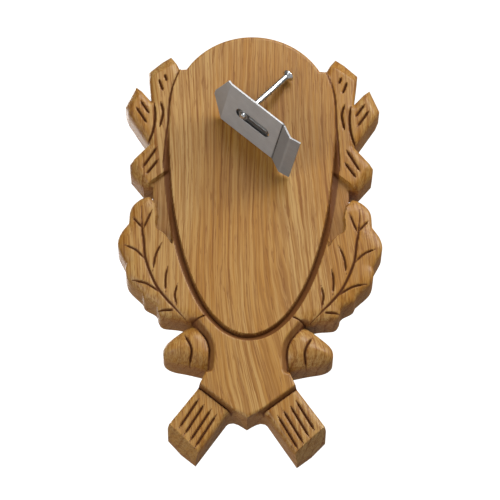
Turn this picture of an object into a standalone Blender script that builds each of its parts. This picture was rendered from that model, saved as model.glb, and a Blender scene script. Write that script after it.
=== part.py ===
"""Antler mounting plaque: a carved oak board with a bent steel clamp, its screw and sliding nut.

The board hangs upright. X runs to the right, Z up along the board, and its front faces -Y.
The origin lies on the flat back, half way up the board. Lengths below are in millimetres.
"""

import math

import bmesh
import bpy
import numpy as np
from mathutils import Matrix, Vector
from mathutils.geometry import delaunay_2d_cdt

MM = 0.001

# Board
BOARD_HEIGHT = 280.2
BOARD_WIDTH = 164.6
BOARD_THICK = 25.0

# Carving depths, measured down from the field's face
EDGE_EASE = 0.9
EDGE_EASE_WIDTH = 1.5
GROOVE_DEPTH = 4.0
GROOVE_WIDTH = 4.8
GROOVE_STEEP = 1.0
BRANCH_DEPTH = 1.6
BRANCH_CROWN = 1.8
BRANCH_CROWN_WIDTH = 5.0
LEAF_DEPTH = 0.8
LEAF_CROWN = 2.4
LEAF_CROWN_WIDTH = 8.0
HOLLOW_DEPTH = 5.0
ACORN_DEPTH = 0.6
ACORN_CROWN = 6.4
ACORN_CROWN_WIDTH = 11.0
ACORN_CUP_CROWN = 2.0
ACORN_CUP_WIDTH = 6.0
FOOT_DEPTH = 2.6
FOOT_CROWN = 1.0
FOOT_CROWN_WIDTH = 4.0
END_CUT_DEPTH = 3.4
END_CUT_REACH = 4.6
END_CUT_MARGIN = 3.0
STEM_CUT_DEPTH = 16.0
STEM_CUT_REACH = 4.2
STEP_WIDTH = 0.9
VEIN_WIDTH = 1.6
VEIN_DEPTH = 1.5
BARK_WIDTH = 2.0
BARK_DEPTH = 2.0
VEIN_TAPER = 0.22
BARK_TAPER = 0.14
LEAST_TAPER = 0.12
PART_LINE_DEPTH = 4.5
PART_LINE_STEEP = 0.8
ACORN_SLOPE = 3.8
STEM_SLOPE = 2.0

# Back of the board
SCREW_HOLE_HEIGHT = 220.9
HOLE_CLEARANCE = 1.5
HANG_ENTRY_DIAMETER = 10.0
HANG_SLOT_WIDTH = 5.4
HANG_SLOT_RISE = 12.0
HANG_HEIGHT = 238.3
HANG_LIP = 4.0
HANG_DEPTH = 11.0
HANG_UNDERCUT = 0.4
CUTTER_OVERRUN = 1.0

# Clamp
SHEET_THICK = 1.3
CLAMP_WIDTH = 35.6
PLATE_LENGTH = 42.3
FLANGE_REACH = 9.3
FLANGE_RISE = 4.95
LIP_REACH = 7.2
LIP_DROP = 1.5
POINT_LENGTH = 11.7
POINT_SHOULDER = 3.0
POINT_BEND = 18.0
POINT_TIP_WIDTH = 3.2
POINT_TIP_HEIGHT = 13.9
SLOT_LENGTH = 26.6
SLOT_START = 8.7
CLAMP_HEADING = 39.5
CLAMP_X = -20.0
CLAMP_HEIGHT = 222.3
REST_GAP = 0.3

# Screw and nut
SCREW_DIAMETER = 4.0
SCREW_LENGTH = 48.0
SCREW_TIP_OUT = 1.5
SCREW_ALONG = 14.1
SCREW_UP = 17.3
HEAD_DIAMETER = 7.8
HEAD_CONE = 2.0
HEAD_RIM = 0.4
RECESS_SPAN = 4.2
RECESS_WIDTH = 0.9
RECESS_DEPTH = 1.6
NUT_PLATE_THICK = 1.3
NUT_PLATE_WIDTH = 11.0
NUT_PLATE_LENGTH = 25.0
COLLAR_WALL = 1.1
FIT_GAP = 0.3

# Size of the drawing on which the outline and the carving are laid out
DRAWING_HEIGHT = 280.2
DRAWING_WIDTH = 164.6

# Oval field: half width, its widest height, its foot, and the fullness of each half
OVAL_HALF_WIDTH = 51.8
OVAL_WIDEST = 219.6
OVAL_FOOT = 78.3
OVAL_UPPER_POWER = 2.72
OVAL_LOWER_POWER = 2.04
OVAL_START_ANGLE = 28.5
GROOVE_START_ANGLE = -9.0
ARCH_HALF_WIDTH = 42.2
ARCH_FOOT = 256.7
ARCH_OVERLAP = 0.5
GROOVE_FADE_TOP = 226.7
GROOVE_FADE_END = 199.6
GROOVE_OPEN_TOP = 232.0
GROOVE_OPEN_END = 188.0
GROOVE_LEAST_WIDTH = 1.2
LEAF_TOP = 176.1
NECK_TOP = 94.1

# Right half of the outline below the arch, as (x, height) corners of each stretch.
# A stretch marked True is a smooth curve through its points, the others are straight.
OUTLINE = (
    ("upper stub", False, ((42.2, 256.7), (45.9, 256.4), (52.5, 269.2), (57.9, 265.6), (66.5, 257.2),
                           (64.0, 235.0))),
    ("middle stub", False, ((64.0, 235.0), (69.4, 241.2), (74.2, 247.0), (80.5, 232.6), (78.6, 227.7),
                            (64.4, 205.8))),
    ("lower stub", False, ((64.4, 205.8), (76.6, 192.3), (75.9, 187.4), (67.5, 177.2), (61.3, 177.2),
                           (61.3, 168.4))),
    ("leaf tip", True, ((61.3, 168.4), (64.1, 169.8), (69.7, 167.4), (74.7, 161.5), (76.0, 151.4))),
    ("leaf lobe 1", True, ((76.0, 151.4), (80.4, 145.0), (82.2, 139.5), (81.6, 134.9), (76.5, 124.9))),
    ("leaf lobe 2", True, ((76.5, 124.9), (77.0, 120.4), (74.7, 113.7), (66.2, 105.2))),
    ("leaf lobe 3", True, ((66.2, 105.2), (64.3, 101.6), (58.5, 98.3), (56.7, 96.2))),
    ("leaf lobe 4", True, ((56.7, 96.2), (55.9, 92.9), (52.9, 89.6), (42.8, 88.4), (34.3, 86.0))),
    ("acorn", True, ((34.3, 86.0), (43.4, 79.2), (50.3, 73.1), (52.3, 68.3), (51.3, 64.2), (46.4, 61.1),
                     (36.5, 59.1), (24.3, 56.2))),
    ("neck", False, ((24.3, 56.2), (30.2, 43.5))),
    ("stem end", False, ((30.2, 43.5), (48.3, 19.0), (48.2, 16.0), (39.9, 7.0), (31.0, 0.0), (12.6, 26.6),
                         (11.1, 27.8), (8.4, 28.2), (5.5, 27.3), (2.6, 25.6), (0.0, 23.9))),
)

# Hollow ground between the lower stub and the leaf
HOLLOW = ((50.1, 190.1), (55.4, 185.6), (61.3, 180.9), (66.7, 176.3), (63.6, 170.1), (60.1, 164.4),
          (58.7, 157.5), (59.7, 150.9), (58.5, 147.0), (54.8, 145.2), (51.5, 141.4), (48.9, 136.6),
          (47.6, 139.0), (49.6, 156.3))

# Edges of the leaf, the acorn and the stem end towards the neck
LEAF_STEM_LINE = ((35.0, 86.1), (27.6, 89.8))
ACORN_LINE = ((34.3, 86.0), (29.8, 80.2), (25.3, 73.6), (23.8, 66.0), (24.3, 56.2))
STEM_LINE = ((30.2, 43.9), (0.0, 20.3))

# Ridges from which the stubs' ends are cut down, outwards on their right, and the stem's own ridge
END_CUTS = (
    ((65.6, 250.6), (49.4, 261.8)),
    ((77.0, 228.6), (68.9, 245.4)),
    ((64.6, 178.8), (73.5, 194.3)),
)
STEM_CUT = ((29.8, 2.8), (46.8, 19.4))

# V cuts: veins of the leaf
VEINS = (
    ((35.5, 84.8), (43.7, 92.5), (53.3, 103.3), (58.7, 111.5), (64.5, 126.4), (66.2, 140.0), (67.3, 146.5),
     (68.1, 162.6)),
    ((61.6, 159.7), (66.6, 147.0)),
    ((73.4, 155.2), (67.3, 147.5)),
    ((78.2, 136.2), (70.9, 132.7), (65.0, 126.7)),
    ((72.8, 113.2), (63.4, 110.4), (54.5, 104.3)),
    ((56.2, 93.1), (45.5, 93.4)),
    ((54.8, 138.1), (58.5, 129.4), (59.9, 119.0)),
    ((50.7, 122.4), (52.0, 114.2), (51.7, 104.9)),
    ((44.4, 110.9), (45.8, 103.7), (44.6, 96.1)),
)

# V cuts: bark of the branch, rim of the acorn's cup and flutes of the stem end
BARK_CUTS = (
    ((59.7, 249.9), (56.9, 242.2)),
    ((56.1, 253.2), (54.6, 249.1)),
    ((58.3, 234.6), (56.5, 226.9), (58.4, 216.4)),
    ((73.5, 230.4), (66.4, 219.5)),
    ((70.8, 234.8), (65.1, 226.0)),
    ((62.3, 234.1), (61.4, 224.3), (62.6, 213.6), (66.0, 204.4)),
    ((59.5, 203.1), (68.3, 188.7)),
    ((58.6, 194.5), (65.7, 184.4)),
    ((39.2, 77.3), (34.9, 68.0), (35.8, 58.7)),
    ((18.6, 26.3), (31.6, 4.6)),
    ((21.8, 29.9), (34.8, 8.3)),
    ((26.1, 32.9), (38.2, 12.6)),
    ((29.6, 36.3), (41.4, 16.9)),
)

# Fineness of the faceted surface, in millimetres
OUTLINE_STEP = 4.0
GROOVE_STEP = 5.0
CUT_STEP = 5.0
GRID_STEP = 6.5
POINT_SPACING = 2.0
RIM_INSET = 4.5
CENTRE_CLEARANCE = 0.8
FLAT_LIMIT = 0.01
MERGE_DISTANCE = 0.02
ROUND_SIDES = 28
ARC_STEPS = 18


def clear_scene():
    """Remove every object that the new file holds."""
    for item in list(bpy.data.objects):
        bpy.data.objects.remove(item, do_unlink=True)


def make_material(name, colour, roughness, metallic):
    """Return a Principled material of one colour."""
    material = bpy.data.materials.new(name)
    material.use_nodes = True
    shader = material.node_tree.nodes["Principled BSDF"]
    shader.inputs["Base Color"].default_value = (*colour, 1.0)
    shader.inputs["Roughness"].default_value = roughness
    shader.inputs["Metallic"].default_value = metallic
    material.diffuse_color = (*colour, 1.0)
    return material


def mesh_object(name, vertices, faces, material, smooth=False):
    """Make an object from vertices in millimetres, with its faces turned outwards."""
    mesh = bpy.data.meshes.new(name)
    mesh.from_pydata([Vector(vertex) * MM for vertex in vertices], [], faces)
    builder = bmesh.new()
    builder.from_mesh(mesh)
    bmesh.ops.recalc_face_normals(builder, faces=builder.faces)
    builder.to_mesh(mesh)
    builder.free()
    mesh.materials.append(material)
    mesh.polygons.foreach_set("use_smooth", [smooth] * len(mesh.polygons))
    item = bpy.data.objects.new(name, mesh)
    bpy.context.collection.objects.link(item)
    return item


def cut_away(target, cutter):
    """Take the cutter's shape out of the target."""
    modifier = target.modifiers.new(cutter.name, "BOOLEAN")
    modifier.operation = "DIFFERENCE"
    modifier.solver = "EXACT"
    modifier.object = cutter
    cutter.hide_render = True
    cutter.display_type = "WIRE"
    cutter.parent = target


# Curves and distances on the drawing


def smooth_curve(points, step):
    """Catmull-Rom curve through the points, sampled about every step."""
    points = [np.array(point, float) for point in points]
    ends = [2 * points[0] - points[1]] + points + [2 * points[-1] - points[-2]]
    samples = []
    for before, start, end, after in zip(ends, ends[1:], ends[2:], ends[3:]):
        count = max(1, math.ceil(np.linalg.norm(end - start) / step))
        for t in np.arange(count) / count:
            samples.append(0.5 * (2 * start + (end - before) * t
                                  + (2 * before - 5 * start + 4 * end - after) * t ** 2
                                  + (3 * start - before - 3 * end + after) * t ** 3))
    samples.append(points[-1])
    return np.array(samples)


def straight_run(points, step):
    """Straight lines through the points, divided about every step."""
    points = np.array(points, float)
    samples = []
    for start, end in zip(points, points[1:]):
        count = max(1, math.ceil(np.linalg.norm(end - start) / step))
        samples.extend(start + (end - start) * t for t in np.arange(count) / count)
    samples.append(points[-1])
    return np.array(samples)


def line_distance(x, z, line):
    """Distance of each point from a line of straight pieces, and how far along it lies, 0 to 1."""
    line = np.array(line, float)
    lengths = np.linalg.norm(np.diff(line, axis=0), axis=1)
    starts = np.concatenate(([0.0], np.cumsum(lengths)))
    best = np.full(np.shape(x), np.inf)
    along = np.zeros(np.shape(x))
    for index, (start, end) in enumerate(zip(line, line[1:])):
        run = end - start
        t = np.clip(((x - start[0]) * run[0] + (z - start[1]) * run[1]) / (run @ run), 0.0, 1.0)
        distance = np.hypot(x - start[0] - t * run[0], z - start[1] - t * run[1])
        nearer = distance < best
        best = np.where(nearer, distance, best)
        along = np.where(nearer, (starts[index] + t * lengths[index]) / starts[-1], along)
    return best, along


def inside(x, z, polygon):
    """True where a point lies inside the polygon."""
    polygon = np.array(polygon, float)
    result = np.zeros(np.shape(x), bool)
    for (x0, z0), (x1, z1) in zip(polygon, np.roll(polygon, -1, axis=0)):
        crosses = (z0 > z) != (z1 > z)
        rise = z1 - z0 if z1 != z0 else 1.0
        result ^= crosses & (x < x0 + (z - z0) * (x1 - x0) / rise)
    return result


def depth_inside(x, z, polygon):
    """Distance to the polygon's edge, positive inside it and negative outside."""
    closed = np.vstack((polygon, polygon[:1]))
    distance, _ = line_distance(x, z, closed)
    return np.where(inside(x, z, polygon), distance, -distance)


def oval_point(angle, offset=0.0):
    """Point of the oval field's edge, moved outwards by offset. Angle 90 is the arch's top."""
    c, s = math.cos(math.radians(angle)), math.sin(math.radians(angle))
    if s >= 0:
        power, reach = OVAL_UPPER_POWER, DRAWING_HEIGHT - OVAL_WIDEST
    else:
        power, reach = OVAL_LOWER_POWER, OVAL_WIDEST - OVAL_FOOT
    x = OVAL_HALF_WIDTH * abs(c) ** (2 / power)
    z = reach * abs(s) ** (2 / power)
    slope = np.array((abs(x / OVAL_HALF_WIDTH) ** (power - 1) / OVAL_HALF_WIDTH,
                      math.copysign((z / reach) ** (power - 1) / reach, s)))
    normal = slope / np.linalg.norm(slope)
    return np.array((x, OVAL_WIDEST + math.copysign(z, s))) + offset * normal


def oval_line(first, last, offset, step):
    """Right half of the oval's edge from one angle to another."""
    count = math.ceil(math.radians(abs(last - first)) * 100.0 / step)
    return np.array([oval_point(first + (last - first) * i / count, offset) for i in range(count + 1)])


def arch_line():
    """Right half of the arch: a circle through its top and its two feet."""
    rise = DRAWING_HEIGHT - ARCH_FOOT
    radius = (ARCH_HALF_WIDTH ** 2 + rise ** 2) / (2.0 * rise)
    sweep = math.asin(ARCH_HALF_WIDTH / radius)
    count = math.ceil(radius * sweep / OUTLINE_STEP)
    turns = sweep * np.arange(count + 1) / count
    return np.column_stack((radius * np.sin(turns), DRAWING_HEIGHT - radius * (1.0 - np.cos(turns))))


def half_outline():
    """Right half of the outline, from the arch's top down to the neck's foot."""
    samples = [arch_line()]
    for _, curved, points in OUTLINE:
        stretch = smooth_curve(points, OUTLINE_STEP) if curved else straight_run(points, OUTLINE_STEP)
        samples.append(stretch[1:])
    return np.vstack(samples)


def past_centre(line):
    """Polygon of a line from the top down to the foot, closed 1 mm past the centre line."""
    return np.vstack((line, [(-1.0, line[-1][1]), (-1.0, line[0][1])]))


def full_outline(half):
    """Whole outline as one loop, the left half mirrored."""
    mirrored = half[1:-1][::-1] * (-1.0, 1.0)
    return np.vstack((half, mirrored))


# Relief of the board's face


def crown(distance, width, drop):
    """Fall of a rounded surface: nothing beyond width from its edge, the whole drop at it."""
    return drop * (1.0 - np.clip(distance / width, 0.0, 1.0)) ** 2


def end_cut(x, z, ridge, depth, reach):
    """Depth of an end cut, which falls evenly from its ridge: depth at reach beyond it."""
    start, end = (np.array(corner) for corner in ridge)
    length = np.linalg.norm(end - start)
    run = (end - start) / length
    along = (x - start[0]) * run[0] + (z - start[1]) * run[1]
    beyond = (x - start[0]) * run[1] - (z - start[1]) * run[0]
    near = (along > -END_CUT_MARGIN) & (along < length + END_CUT_MARGIN) & (beyond < 2.5 * reach)
    return np.where(near, depth * np.clip(beyond / reach, 0.0, 2.5), 0.0)


def groove_width(z):
    """Width of the groove at a height. It opens evenly downwards to its full width."""
    share = np.clip((GROOVE_OPEN_TOP - z) / (GROOVE_OPEN_TOP - GROOVE_OPEN_END), 0.0, 1.0)
    return np.maximum(GROOVE_WIDTH * share, GROOVE_LEAST_WIDTH)


class Relief:
    """Depth of the carved face below the field, on the drawing's right half."""

    def __init__(self):
        self.half = half_outline()
        self.oval = oval_line(90.0, -90.0, 0.0, 1.5)
        self.oval_area = past_centre(self.oval)
        self.hollow = np.array(HOLLOW)
        self.acorn_line = smooth_curve(ACORN_LINE, 3.0)
        self.stem_line = np.array(STEM_LINE)
        self.veins = [smooth_curve(points, CUT_STEP) for points in VEINS]
        self.bark_cuts = [smooth_curve(points, CUT_STEP) for points in BARK_CUTS]

    def cuts(self):
        """Every V cut as (line, width, depth, share of its length over which each end tapers)."""
        cuts = [(line, VEIN_WIDTH, VEIN_DEPTH, VEIN_TAPER) for line in self.veins]
        cuts += [(line, BARK_WIDTH, BARK_DEPTH, BARK_TAPER) for line in self.bark_cuts]
        cuts.append((np.array(LEAF_STEM_LINE), VEIN_WIDTH, VEIN_DEPTH, 0.0))
        return cuts

    def part_lines(self):
        """Lines that set the acorn and the stem end apart from the neck, each with its slope's width."""
        return [(self.acorn_line, ACORN_SLOPE), (self.stem_line, STEM_SLOPE)]

    def depth(self, x, z):
        """Depth below the field's face at each point of the drawing."""
        x = np.abs(np.asarray(x, float))
        z = np.asarray(z, float)
        edge, _ = line_distance(x, z, self.half)
        beyond, _ = line_distance(x, z, self.oval)
        field = inside(x, z, self.oval_area) | ((z > ARCH_FOOT) & (x < ARCH_HALF_WIDTH + ARCH_OVERLAP))
        beyond = np.where(field, 0.0, beyond)

        branch = BRANCH_DEPTH + crown(edge, BRANCH_CROWN_WIDTH, BRANCH_CROWN)
        leaf = LEAF_DEPTH + crown(edge, LEAF_CROWN_WIDTH, LEAF_CROWN)
        ground = np.where(z > LEAF_TOP, branch, leaf)
        (outer_x, outer_z), (inner_x, inner_z) = LEAF_STEM_LINE
        neck = z < np.interp(x, (0.0, inner_x, outer_x), (NECK_TOP, inner_z, outer_z))
        ground = np.where(neck, 0.0, ground)
        cup, _ = line_distance(x, z, self.acorn_line)
        acorn = ACORN_DEPTH + crown(edge, ACORN_CROWN_WIDTH, ACORN_CROWN)
        acorn = acorn + crown(cup, ACORN_CUP_WIDTH, ACORN_CUP_CROWN)
        line_x = np.interp(z, self.acorn_line[::-1, 1], self.acorn_line[::-1, 0])
        on_acorn = (x > line_x) & (z < ACORN_LINE[0][1]) & (z > ACORN_LINE[-1][1] - 1.0)
        ground = np.where(on_acorn, acorn, ground)
        stem = FOOT_DEPTH + crown(edge, FOOT_CROWN_WIDTH, FOOT_CROWN)
        (corner_x, corner_z), (_, point_z) = STEM_LINE
        on_stem = z < point_z + (corner_z - point_z) * x / corner_x
        ground = np.where(on_stem, stem, ground)
        for (line, slope), low_side in zip(self.part_lines(), (on_acorn, on_stem)):
            distance, _ = line_distance(x, z, line)
            width = np.where(low_side, PART_LINE_STEEP, slope)
            ground = np.maximum(ground, PART_LINE_DEPTH * (1.0 - distance / width))
        for ridge in END_CUTS:
            ground = ground + end_cut(x, z, ridge, END_CUT_DEPTH, END_CUT_REACH)
        ground = ground + end_cut(x, z, STEM_CUT, STEM_CUT_DEPTH, STEM_CUT_REACH)
        hollow = np.clip(depth_inside(x, z, self.hollow) / STEP_WIDTH, 0.0, 1.0)
        ground = ground + np.maximum(HOLLOW_DEPTH - ground, 0.0) * hollow

        fade = np.clip((GROOVE_FADE_TOP - z) / (GROOVE_FADE_TOP - GROOVE_FADE_END), 0.0, 1.0)
        bottom = np.maximum(GROOVE_DEPTH * fade, ground)
        slope = np.clip((beyond - GROOVE_STEEP) / (groove_width(z) - GROOVE_STEEP), 0.0, 1.0)
        outside = bottom + (ground - bottom) * slope
        depth = outside * np.clip(beyond / GROOVE_STEEP, 0.0, 1.0)

        for line, width, deep, taper in self.cuts():
            distance, along = line_distance(x, z, line)
            size = cut_size(along, taper)
            depth = depth + deep * size * np.clip(1.0 - distance / (0.5 * width * size), 0.0, 1.0)
        return depth + crown(edge, EDGE_EASE_WIDTH, EDGE_EASE)


def cut_size(along, taper):
    """Share of its full size that a V cut has along its length, tapering at both ends."""
    if not taper:
        return np.ones_like(along)
    return np.clip(np.minimum(along, 1.0 - along) / taper, LEAST_TAPER, 1.0)


def cut_run(line, left, right, taper):
    """Centre line and both edges of a cut, with points where it tapers."""
    lengths = np.concatenate(([0.0], np.cumsum(np.linalg.norm(np.diff(line, axis=0), axis=1))))
    count = max(1, math.ceil(lengths[-1] * (1.0 - 2.0 * taper) / CUT_STEP))
    along = np.linspace(taper, 1.0 - taper, count + 1)
    if taper:
        along = np.concatenate(([0.0], along, [1.0]))
    run = np.column_stack([np.interp(along * lengths[-1], lengths, line[:, i]) for i in range(2)])
    ahead = np.gradient(run, axis=0)
    ahead /= np.linalg.norm(ahead, axis=1)[:, None]
    side = np.column_stack((-ahead[:, 1], ahead[:, 0]))
    size = cut_size(along, taper)[:, None]
    return run, run + side * left * size, run - side * right * size


def inset_polygon(polygon, inset):
    """The polygon with every side moved inwards, its corners kept square to both sides."""
    before = polygon - np.roll(polygon, 1, axis=0)
    after = np.roll(before, -1, axis=0)
    before /= np.linalg.norm(before, axis=1)[:, None]
    after /= np.linalg.norm(after, axis=1)[:, None]
    side = np.column_stack((before[:, 1], -before[:, 0])) + np.column_stack((after[:, 1], -after[:, 0]))
    across = np.einsum("ij,ij->i", side, np.column_stack((after[:, 1], -after[:, 0])))
    return polygon + side * (inset / across)[:, None]


def feature_lines(relief):
    """Lines on the right half along which the surface bends."""
    lines = []
    for offset in (0.0, GROOVE_STEEP):
        lines.append(oval_line(OVAL_START_ANGLE, -90.0, offset, GROOVE_STEP))
    inner = oval_line(GROOVE_START_ANGLE, -90.0, 0.0, GROOVE_STEP)
    outer = oval_line(GROOVE_START_ANGLE, -90.0, GROOVE_WIDTH, GROOVE_STEP)
    lines.append(inner + (outer - inner) * (groove_width(outer[:, 1]) / GROOVE_WIDTH)[:, None])
    for inset in (0.0, STEP_WIDTH):
        area = inset_polygon(relief.hollow, inset)
        lines.append(straight_run(np.vstack((area, area[:1])), CUT_STEP))
    for line, slope in relief.part_lines():
        lines.extend(cut_run(line, PART_LINE_STEEP, slope, 0.0))
    for line, width, _, taper in relief.cuts():
        lines.extend(cut_run(line, 0.5 * width, 0.5 * width, taper))
    for ridge in (*END_CUTS, STEM_CUT):
        lines.append(straight_run(ridge, CUT_STEP))
    lines.extend(rim_runs(relief, EDGE_EASE_WIDTH))
    return lines


def rim_runs(relief, inset):
    """Runs that follow the right half of the outline at an inset, broken where it has no room."""
    rim = inset_polygon(full_outline(relief.half), inset)[:len(relief.half)]
    distance, _ = line_distance(rim[:, 0], rim[:, 1], relief.half)
    fits = (distance > 0.9 * inset) & (distance < 1.1 * inset) & (rim[:, 0] > -0.01)
    runs = []
    run = []
    for point, fit in zip(rim, fits):
        if fit:
            run.append(point)
        else:
            runs.append(run)
            run = []
    runs.append(run)
    return [np.array(run) for run in runs if len(run) > 1]


def spread_points(relief, taken):
    """Points on the right half that follow the rounded surfaces, kept apart from each other."""
    half = relief.half
    wanted = [point for run in rim_runs(relief, RIM_INSET) for point in run]
    rows = np.arange(0.0, DRAWING_HEIGHT, GRID_STEP * 0.866)
    for row, z in enumerate(rows):
        for x in np.arange(0.0, 0.5 * DRAWING_WIDTH, GRID_STEP) + 0.5 * GRID_STEP * (row % 2):
            wanted.append(np.array((x, z)))
    wanted = np.array(wanted)
    keep = inside(wanted[:, 0], wanted[:, 1], past_centre(half))
    keep &= wanted[:, 0] > CENTRE_CLEARANCE
    edge, _ = line_distance(wanted[:, 0], wanted[:, 1], half)
    keep &= edge > EDGE_EASE_WIDTH + 0.5 * POINT_SPACING
    flat = relief.depth(wanted[:, 0], wanted[:, 1]) < FLAT_LIMIT
    keep &= ~(flat & (edge > 2.0 * EDGE_EASE_WIDTH))
    points = []
    near = list(np.vstack(taken))
    for point in wanted[keep]:
        gap = np.min(np.hypot(*(np.array(near) - point).T))
        if gap > POINT_SPACING:
            points.append(point)
            near.append(point)
    return points


def drawn_mesh(outline, lines, points):
    """Triangles of the outline's inside that keep every line, as 2-D vertices and faces."""
    vertices = []
    edges = []

    def add_run(run, closed=False):
        first = len(vertices)
        vertices.extend(Vector((float(x), float(z))) for x, z in run)
        edges.extend((first + i, first + i + 1) for i in range(len(run) - 1))
        if closed:
            edges.append((len(vertices) - 1, first))

    add_run(outline, closed=True)
    for line in lines:
        add_run(line)
    vertices.extend(Vector((float(x), float(z))) for x, z in points)
    corners, _, faces, _, _, _ = delaunay_2d_cdt(vertices, edges, [], 0, MERGE_DISTANCE)
    flat = np.array([tuple(corner) for corner in corners])
    faces = [tuple(face) for face in faces]
    middles = np.array([flat[list(face)].mean(axis=0) for face in faces])
    kept = inside(middles[:, 0], middles[:, 1], outline)
    return flat, [face for face, keep in zip(faces, kept) if keep]


def boundary_loop(faces):
    """The vertices around the outside of a sheet of triangles, in order."""
    sides = {(a, b) for face in faces for a, b in zip(face, face[1:] + face[:1])}
    following = {a: b for a, b in sides if (b, a) not in sides}
    first = min(following)
    loop = [first]
    while following[loop[-1]] != first:
        loop.append(following[loop[-1]])
    return loop


def board_place(x, z):
    """Board position across and up of a point of the drawing."""
    return x * BOARD_WIDTH / DRAWING_WIDTH, (z / DRAWING_HEIGHT - 0.5) * BOARD_HEIGHT


def make_board(material):
    """The carved oak board with its screw hole and hanging slot."""
    relief = Relief()
    outline = full_outline(relief.half)
    right = feature_lines(relief)
    points = spread_points(relief, [relief.half] + right)
    mirror = (-1.0, 1.0)
    lines = []
    for line in right:
        lines.extend((line, line * mirror))
    points = [point for spot in points for point in (spot, spot * mirror)]
    flat, faces = drawn_mesh(outline, lines, points)
    depth = relief.depth(flat[:, 0], flat[:, 1])

    vertices = []
    for (x, z), deep in zip(flat, depth):
        across, up = board_place(x, z)
        vertices.append((across, deep - BOARD_THICK, up))
    loop = boundary_loop(faces)
    rear = {}
    for index in loop:
        rear[index] = len(vertices)
        vertices.append((vertices[index][0], 0.0, vertices[index][2]))
    for a, b in zip(loop, loop[1:] + loop[:1]):
        faces.append((b, a, rear[a], rear[b]))
    back_flat, back_faces = drawn_mesh(flat[loop], [], [])
    order = [loop[int(np.argmin(np.hypot(*(flat[loop] - corner).T)))] for corner in back_flat]
    faces.extend(tuple(rear[order[i]] for i in reversed(face)) for face in back_faces)
    used = sorted({index for face in faces for index in face})
    renamed = {old: new for new, old in enumerate(used)}
    faces = [tuple(renamed[index] for index in face) for face in faces]
    board = mesh_object("plaque", [vertices[index] for index in used], faces, material)

    hole_up = board_place(0.0, SCREW_HOLE_HEIGHT)[1]
    cut_away(board, screw_hole_cutter(hole_up, material))
    hang_up = board_place(0.0, HANG_HEIGHT)[1]
    entry = keyhole_shape(0.5 * HANG_ENTRY_DIAMETER, 0.5 * HANG_SLOT_WIDTH)
    wide = 0.5 * HANG_ENTRY_DIAMETER + HANG_UNDERCUT
    under = keyhole_shape(wide, wide)
    behind = CUTTER_OVERRUN
    cut_away(board, prism("hanging_entry_cut", entry, hang_up, -HANG_LIP - 0.5, behind, material))
    cut_away(board, prism("hanging_undercut", under, hang_up, -HANG_DEPTH, -HANG_LIP, material))
    return board


def revolve(name, profile, material, sides=ROUND_SIDES):
    """Solid turned around the Y axis from (radius, y) points. A point of radius 0 closes an end."""
    vertices = []
    rings = []
    for radius, y in profile:
        if radius == 0.0:
            rings.append([len(vertices)])
            vertices.append((0.0, y, 0.0))
            continue
        rings.append(list(range(len(vertices), len(vertices) + sides)))
        for index in range(sides):
            turn = 2.0 * math.pi * index / sides
            vertices.append((radius * math.cos(turn), y, radius * math.sin(turn)))
    faces = []
    for lower, upper in zip(rings, rings[1:]):
        for index in range(sides):
            following = (index + 1) % sides
            corners = [lower[index % len(lower)], lower[following % len(lower)],
                       upper[following % len(upper)], upper[index % len(upper)]]
            faces.append(tuple(dict.fromkeys(corners)))
    return mesh_object(name, vertices, faces, material, smooth=True)


def screw_hole_cutter(up, material):
    """Through hole for the clamp's screw, countersunk at the back for its head."""
    bore = 0.5 * (SCREW_DIAMETER + HOLE_CLEARANCE)
    sink = 0.5 * (HEAD_DIAMETER + HOLE_CLEARANCE)
    front = -BOARD_THICK - CUTTER_OVERRUN
    profile = ((0.0, front), (bore, front), (bore, bore - sink), (sink, 0.0), (sink, CUTTER_OVERRUN),
               (0.0, CUTTER_OVERRUN))
    cutter = revolve("screw_hole_cut", profile, material)
    cutter.location = (0.0, 0.0, up * MM)
    return cutter


def keyhole_shape(entry_radius, slot_radius):
    """Outline of a round entry with a round-ended slot rising from it, centred on the entry."""
    join = math.asin(slot_radius / entry_radius)
    steps = ARC_STEPS
    start = 0.5 * math.pi + join
    sweep = 2.0 * math.pi - 2.0 * join
    shape = []
    for index in range(steps + 1):
        turn = start + sweep * index / steps
        shape.append((entry_radius * math.cos(turn), entry_radius * math.sin(turn)))
    for index in range(steps // 2 + 1):
        turn = math.pi * index / (steps // 2)
        shape.append((slot_radius * math.cos(turn), HANG_SLOT_RISE + slot_radius * math.sin(turn)))
    return shape


def prism(name, shape, up, near, far, material):
    """Prism of an (x, z) outline between two depths behind the back's plane."""
    count = len(shape)
    vertices = [(x, near, z) for x, z in shape] + [(x, far, z) for x, z in shape]
    faces = [tuple(range(count)), tuple(reversed(range(count, 2 * count)))]
    for index in range(count):
        following = (index + 1) % count
        faces.append((index, following, following + count, index + count))
    item = mesh_object(name, vertices, faces, material)
    item.location = (0.0, 0.0, up * MM)
    return item


# Clamp, screw and nut, modelled in the clamp's own frame: X along the plate, Z up across it
# and Y through it, from its front to its back


def lean_angle():
    """Lean at which the clamp's lower edge and the screw's head both rest on the board."""
    head_plane = SCREW_LENGTH - SCREW_TIP_OUT
    return math.atan2(SCREW_UP - 0.5 * HEAD_DIAMETER, head_plane - SHEET_THICK)


def clamp_frame():
    """Matrix that stands the clamp on the board's face, turned and leaning."""
    lean = lean_angle()
    heading = math.radians(CLAMP_HEADING)
    along = Vector((math.cos(heading), 0.0, -math.sin(heading)))
    level = Vector((math.sin(heading), 0.0, math.cos(heading)))
    into = Vector((0.0, 1.0, 0.0))
    through = math.cos(lean) * level + math.sin(lean) * into
    up = math.sin(lean) * level - math.cos(lean) * into
    across, height = board_place(CLAMP_X, CLAMP_HEIGHT)
    lift = BOARD_THICK + REST_GAP + SHEET_THICK * math.sin(lean)
    place = Matrix((along, through, up)).transposed().to_4x4()
    place.translation = Vector((across, -lift, height)) * MM
    return place


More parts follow.
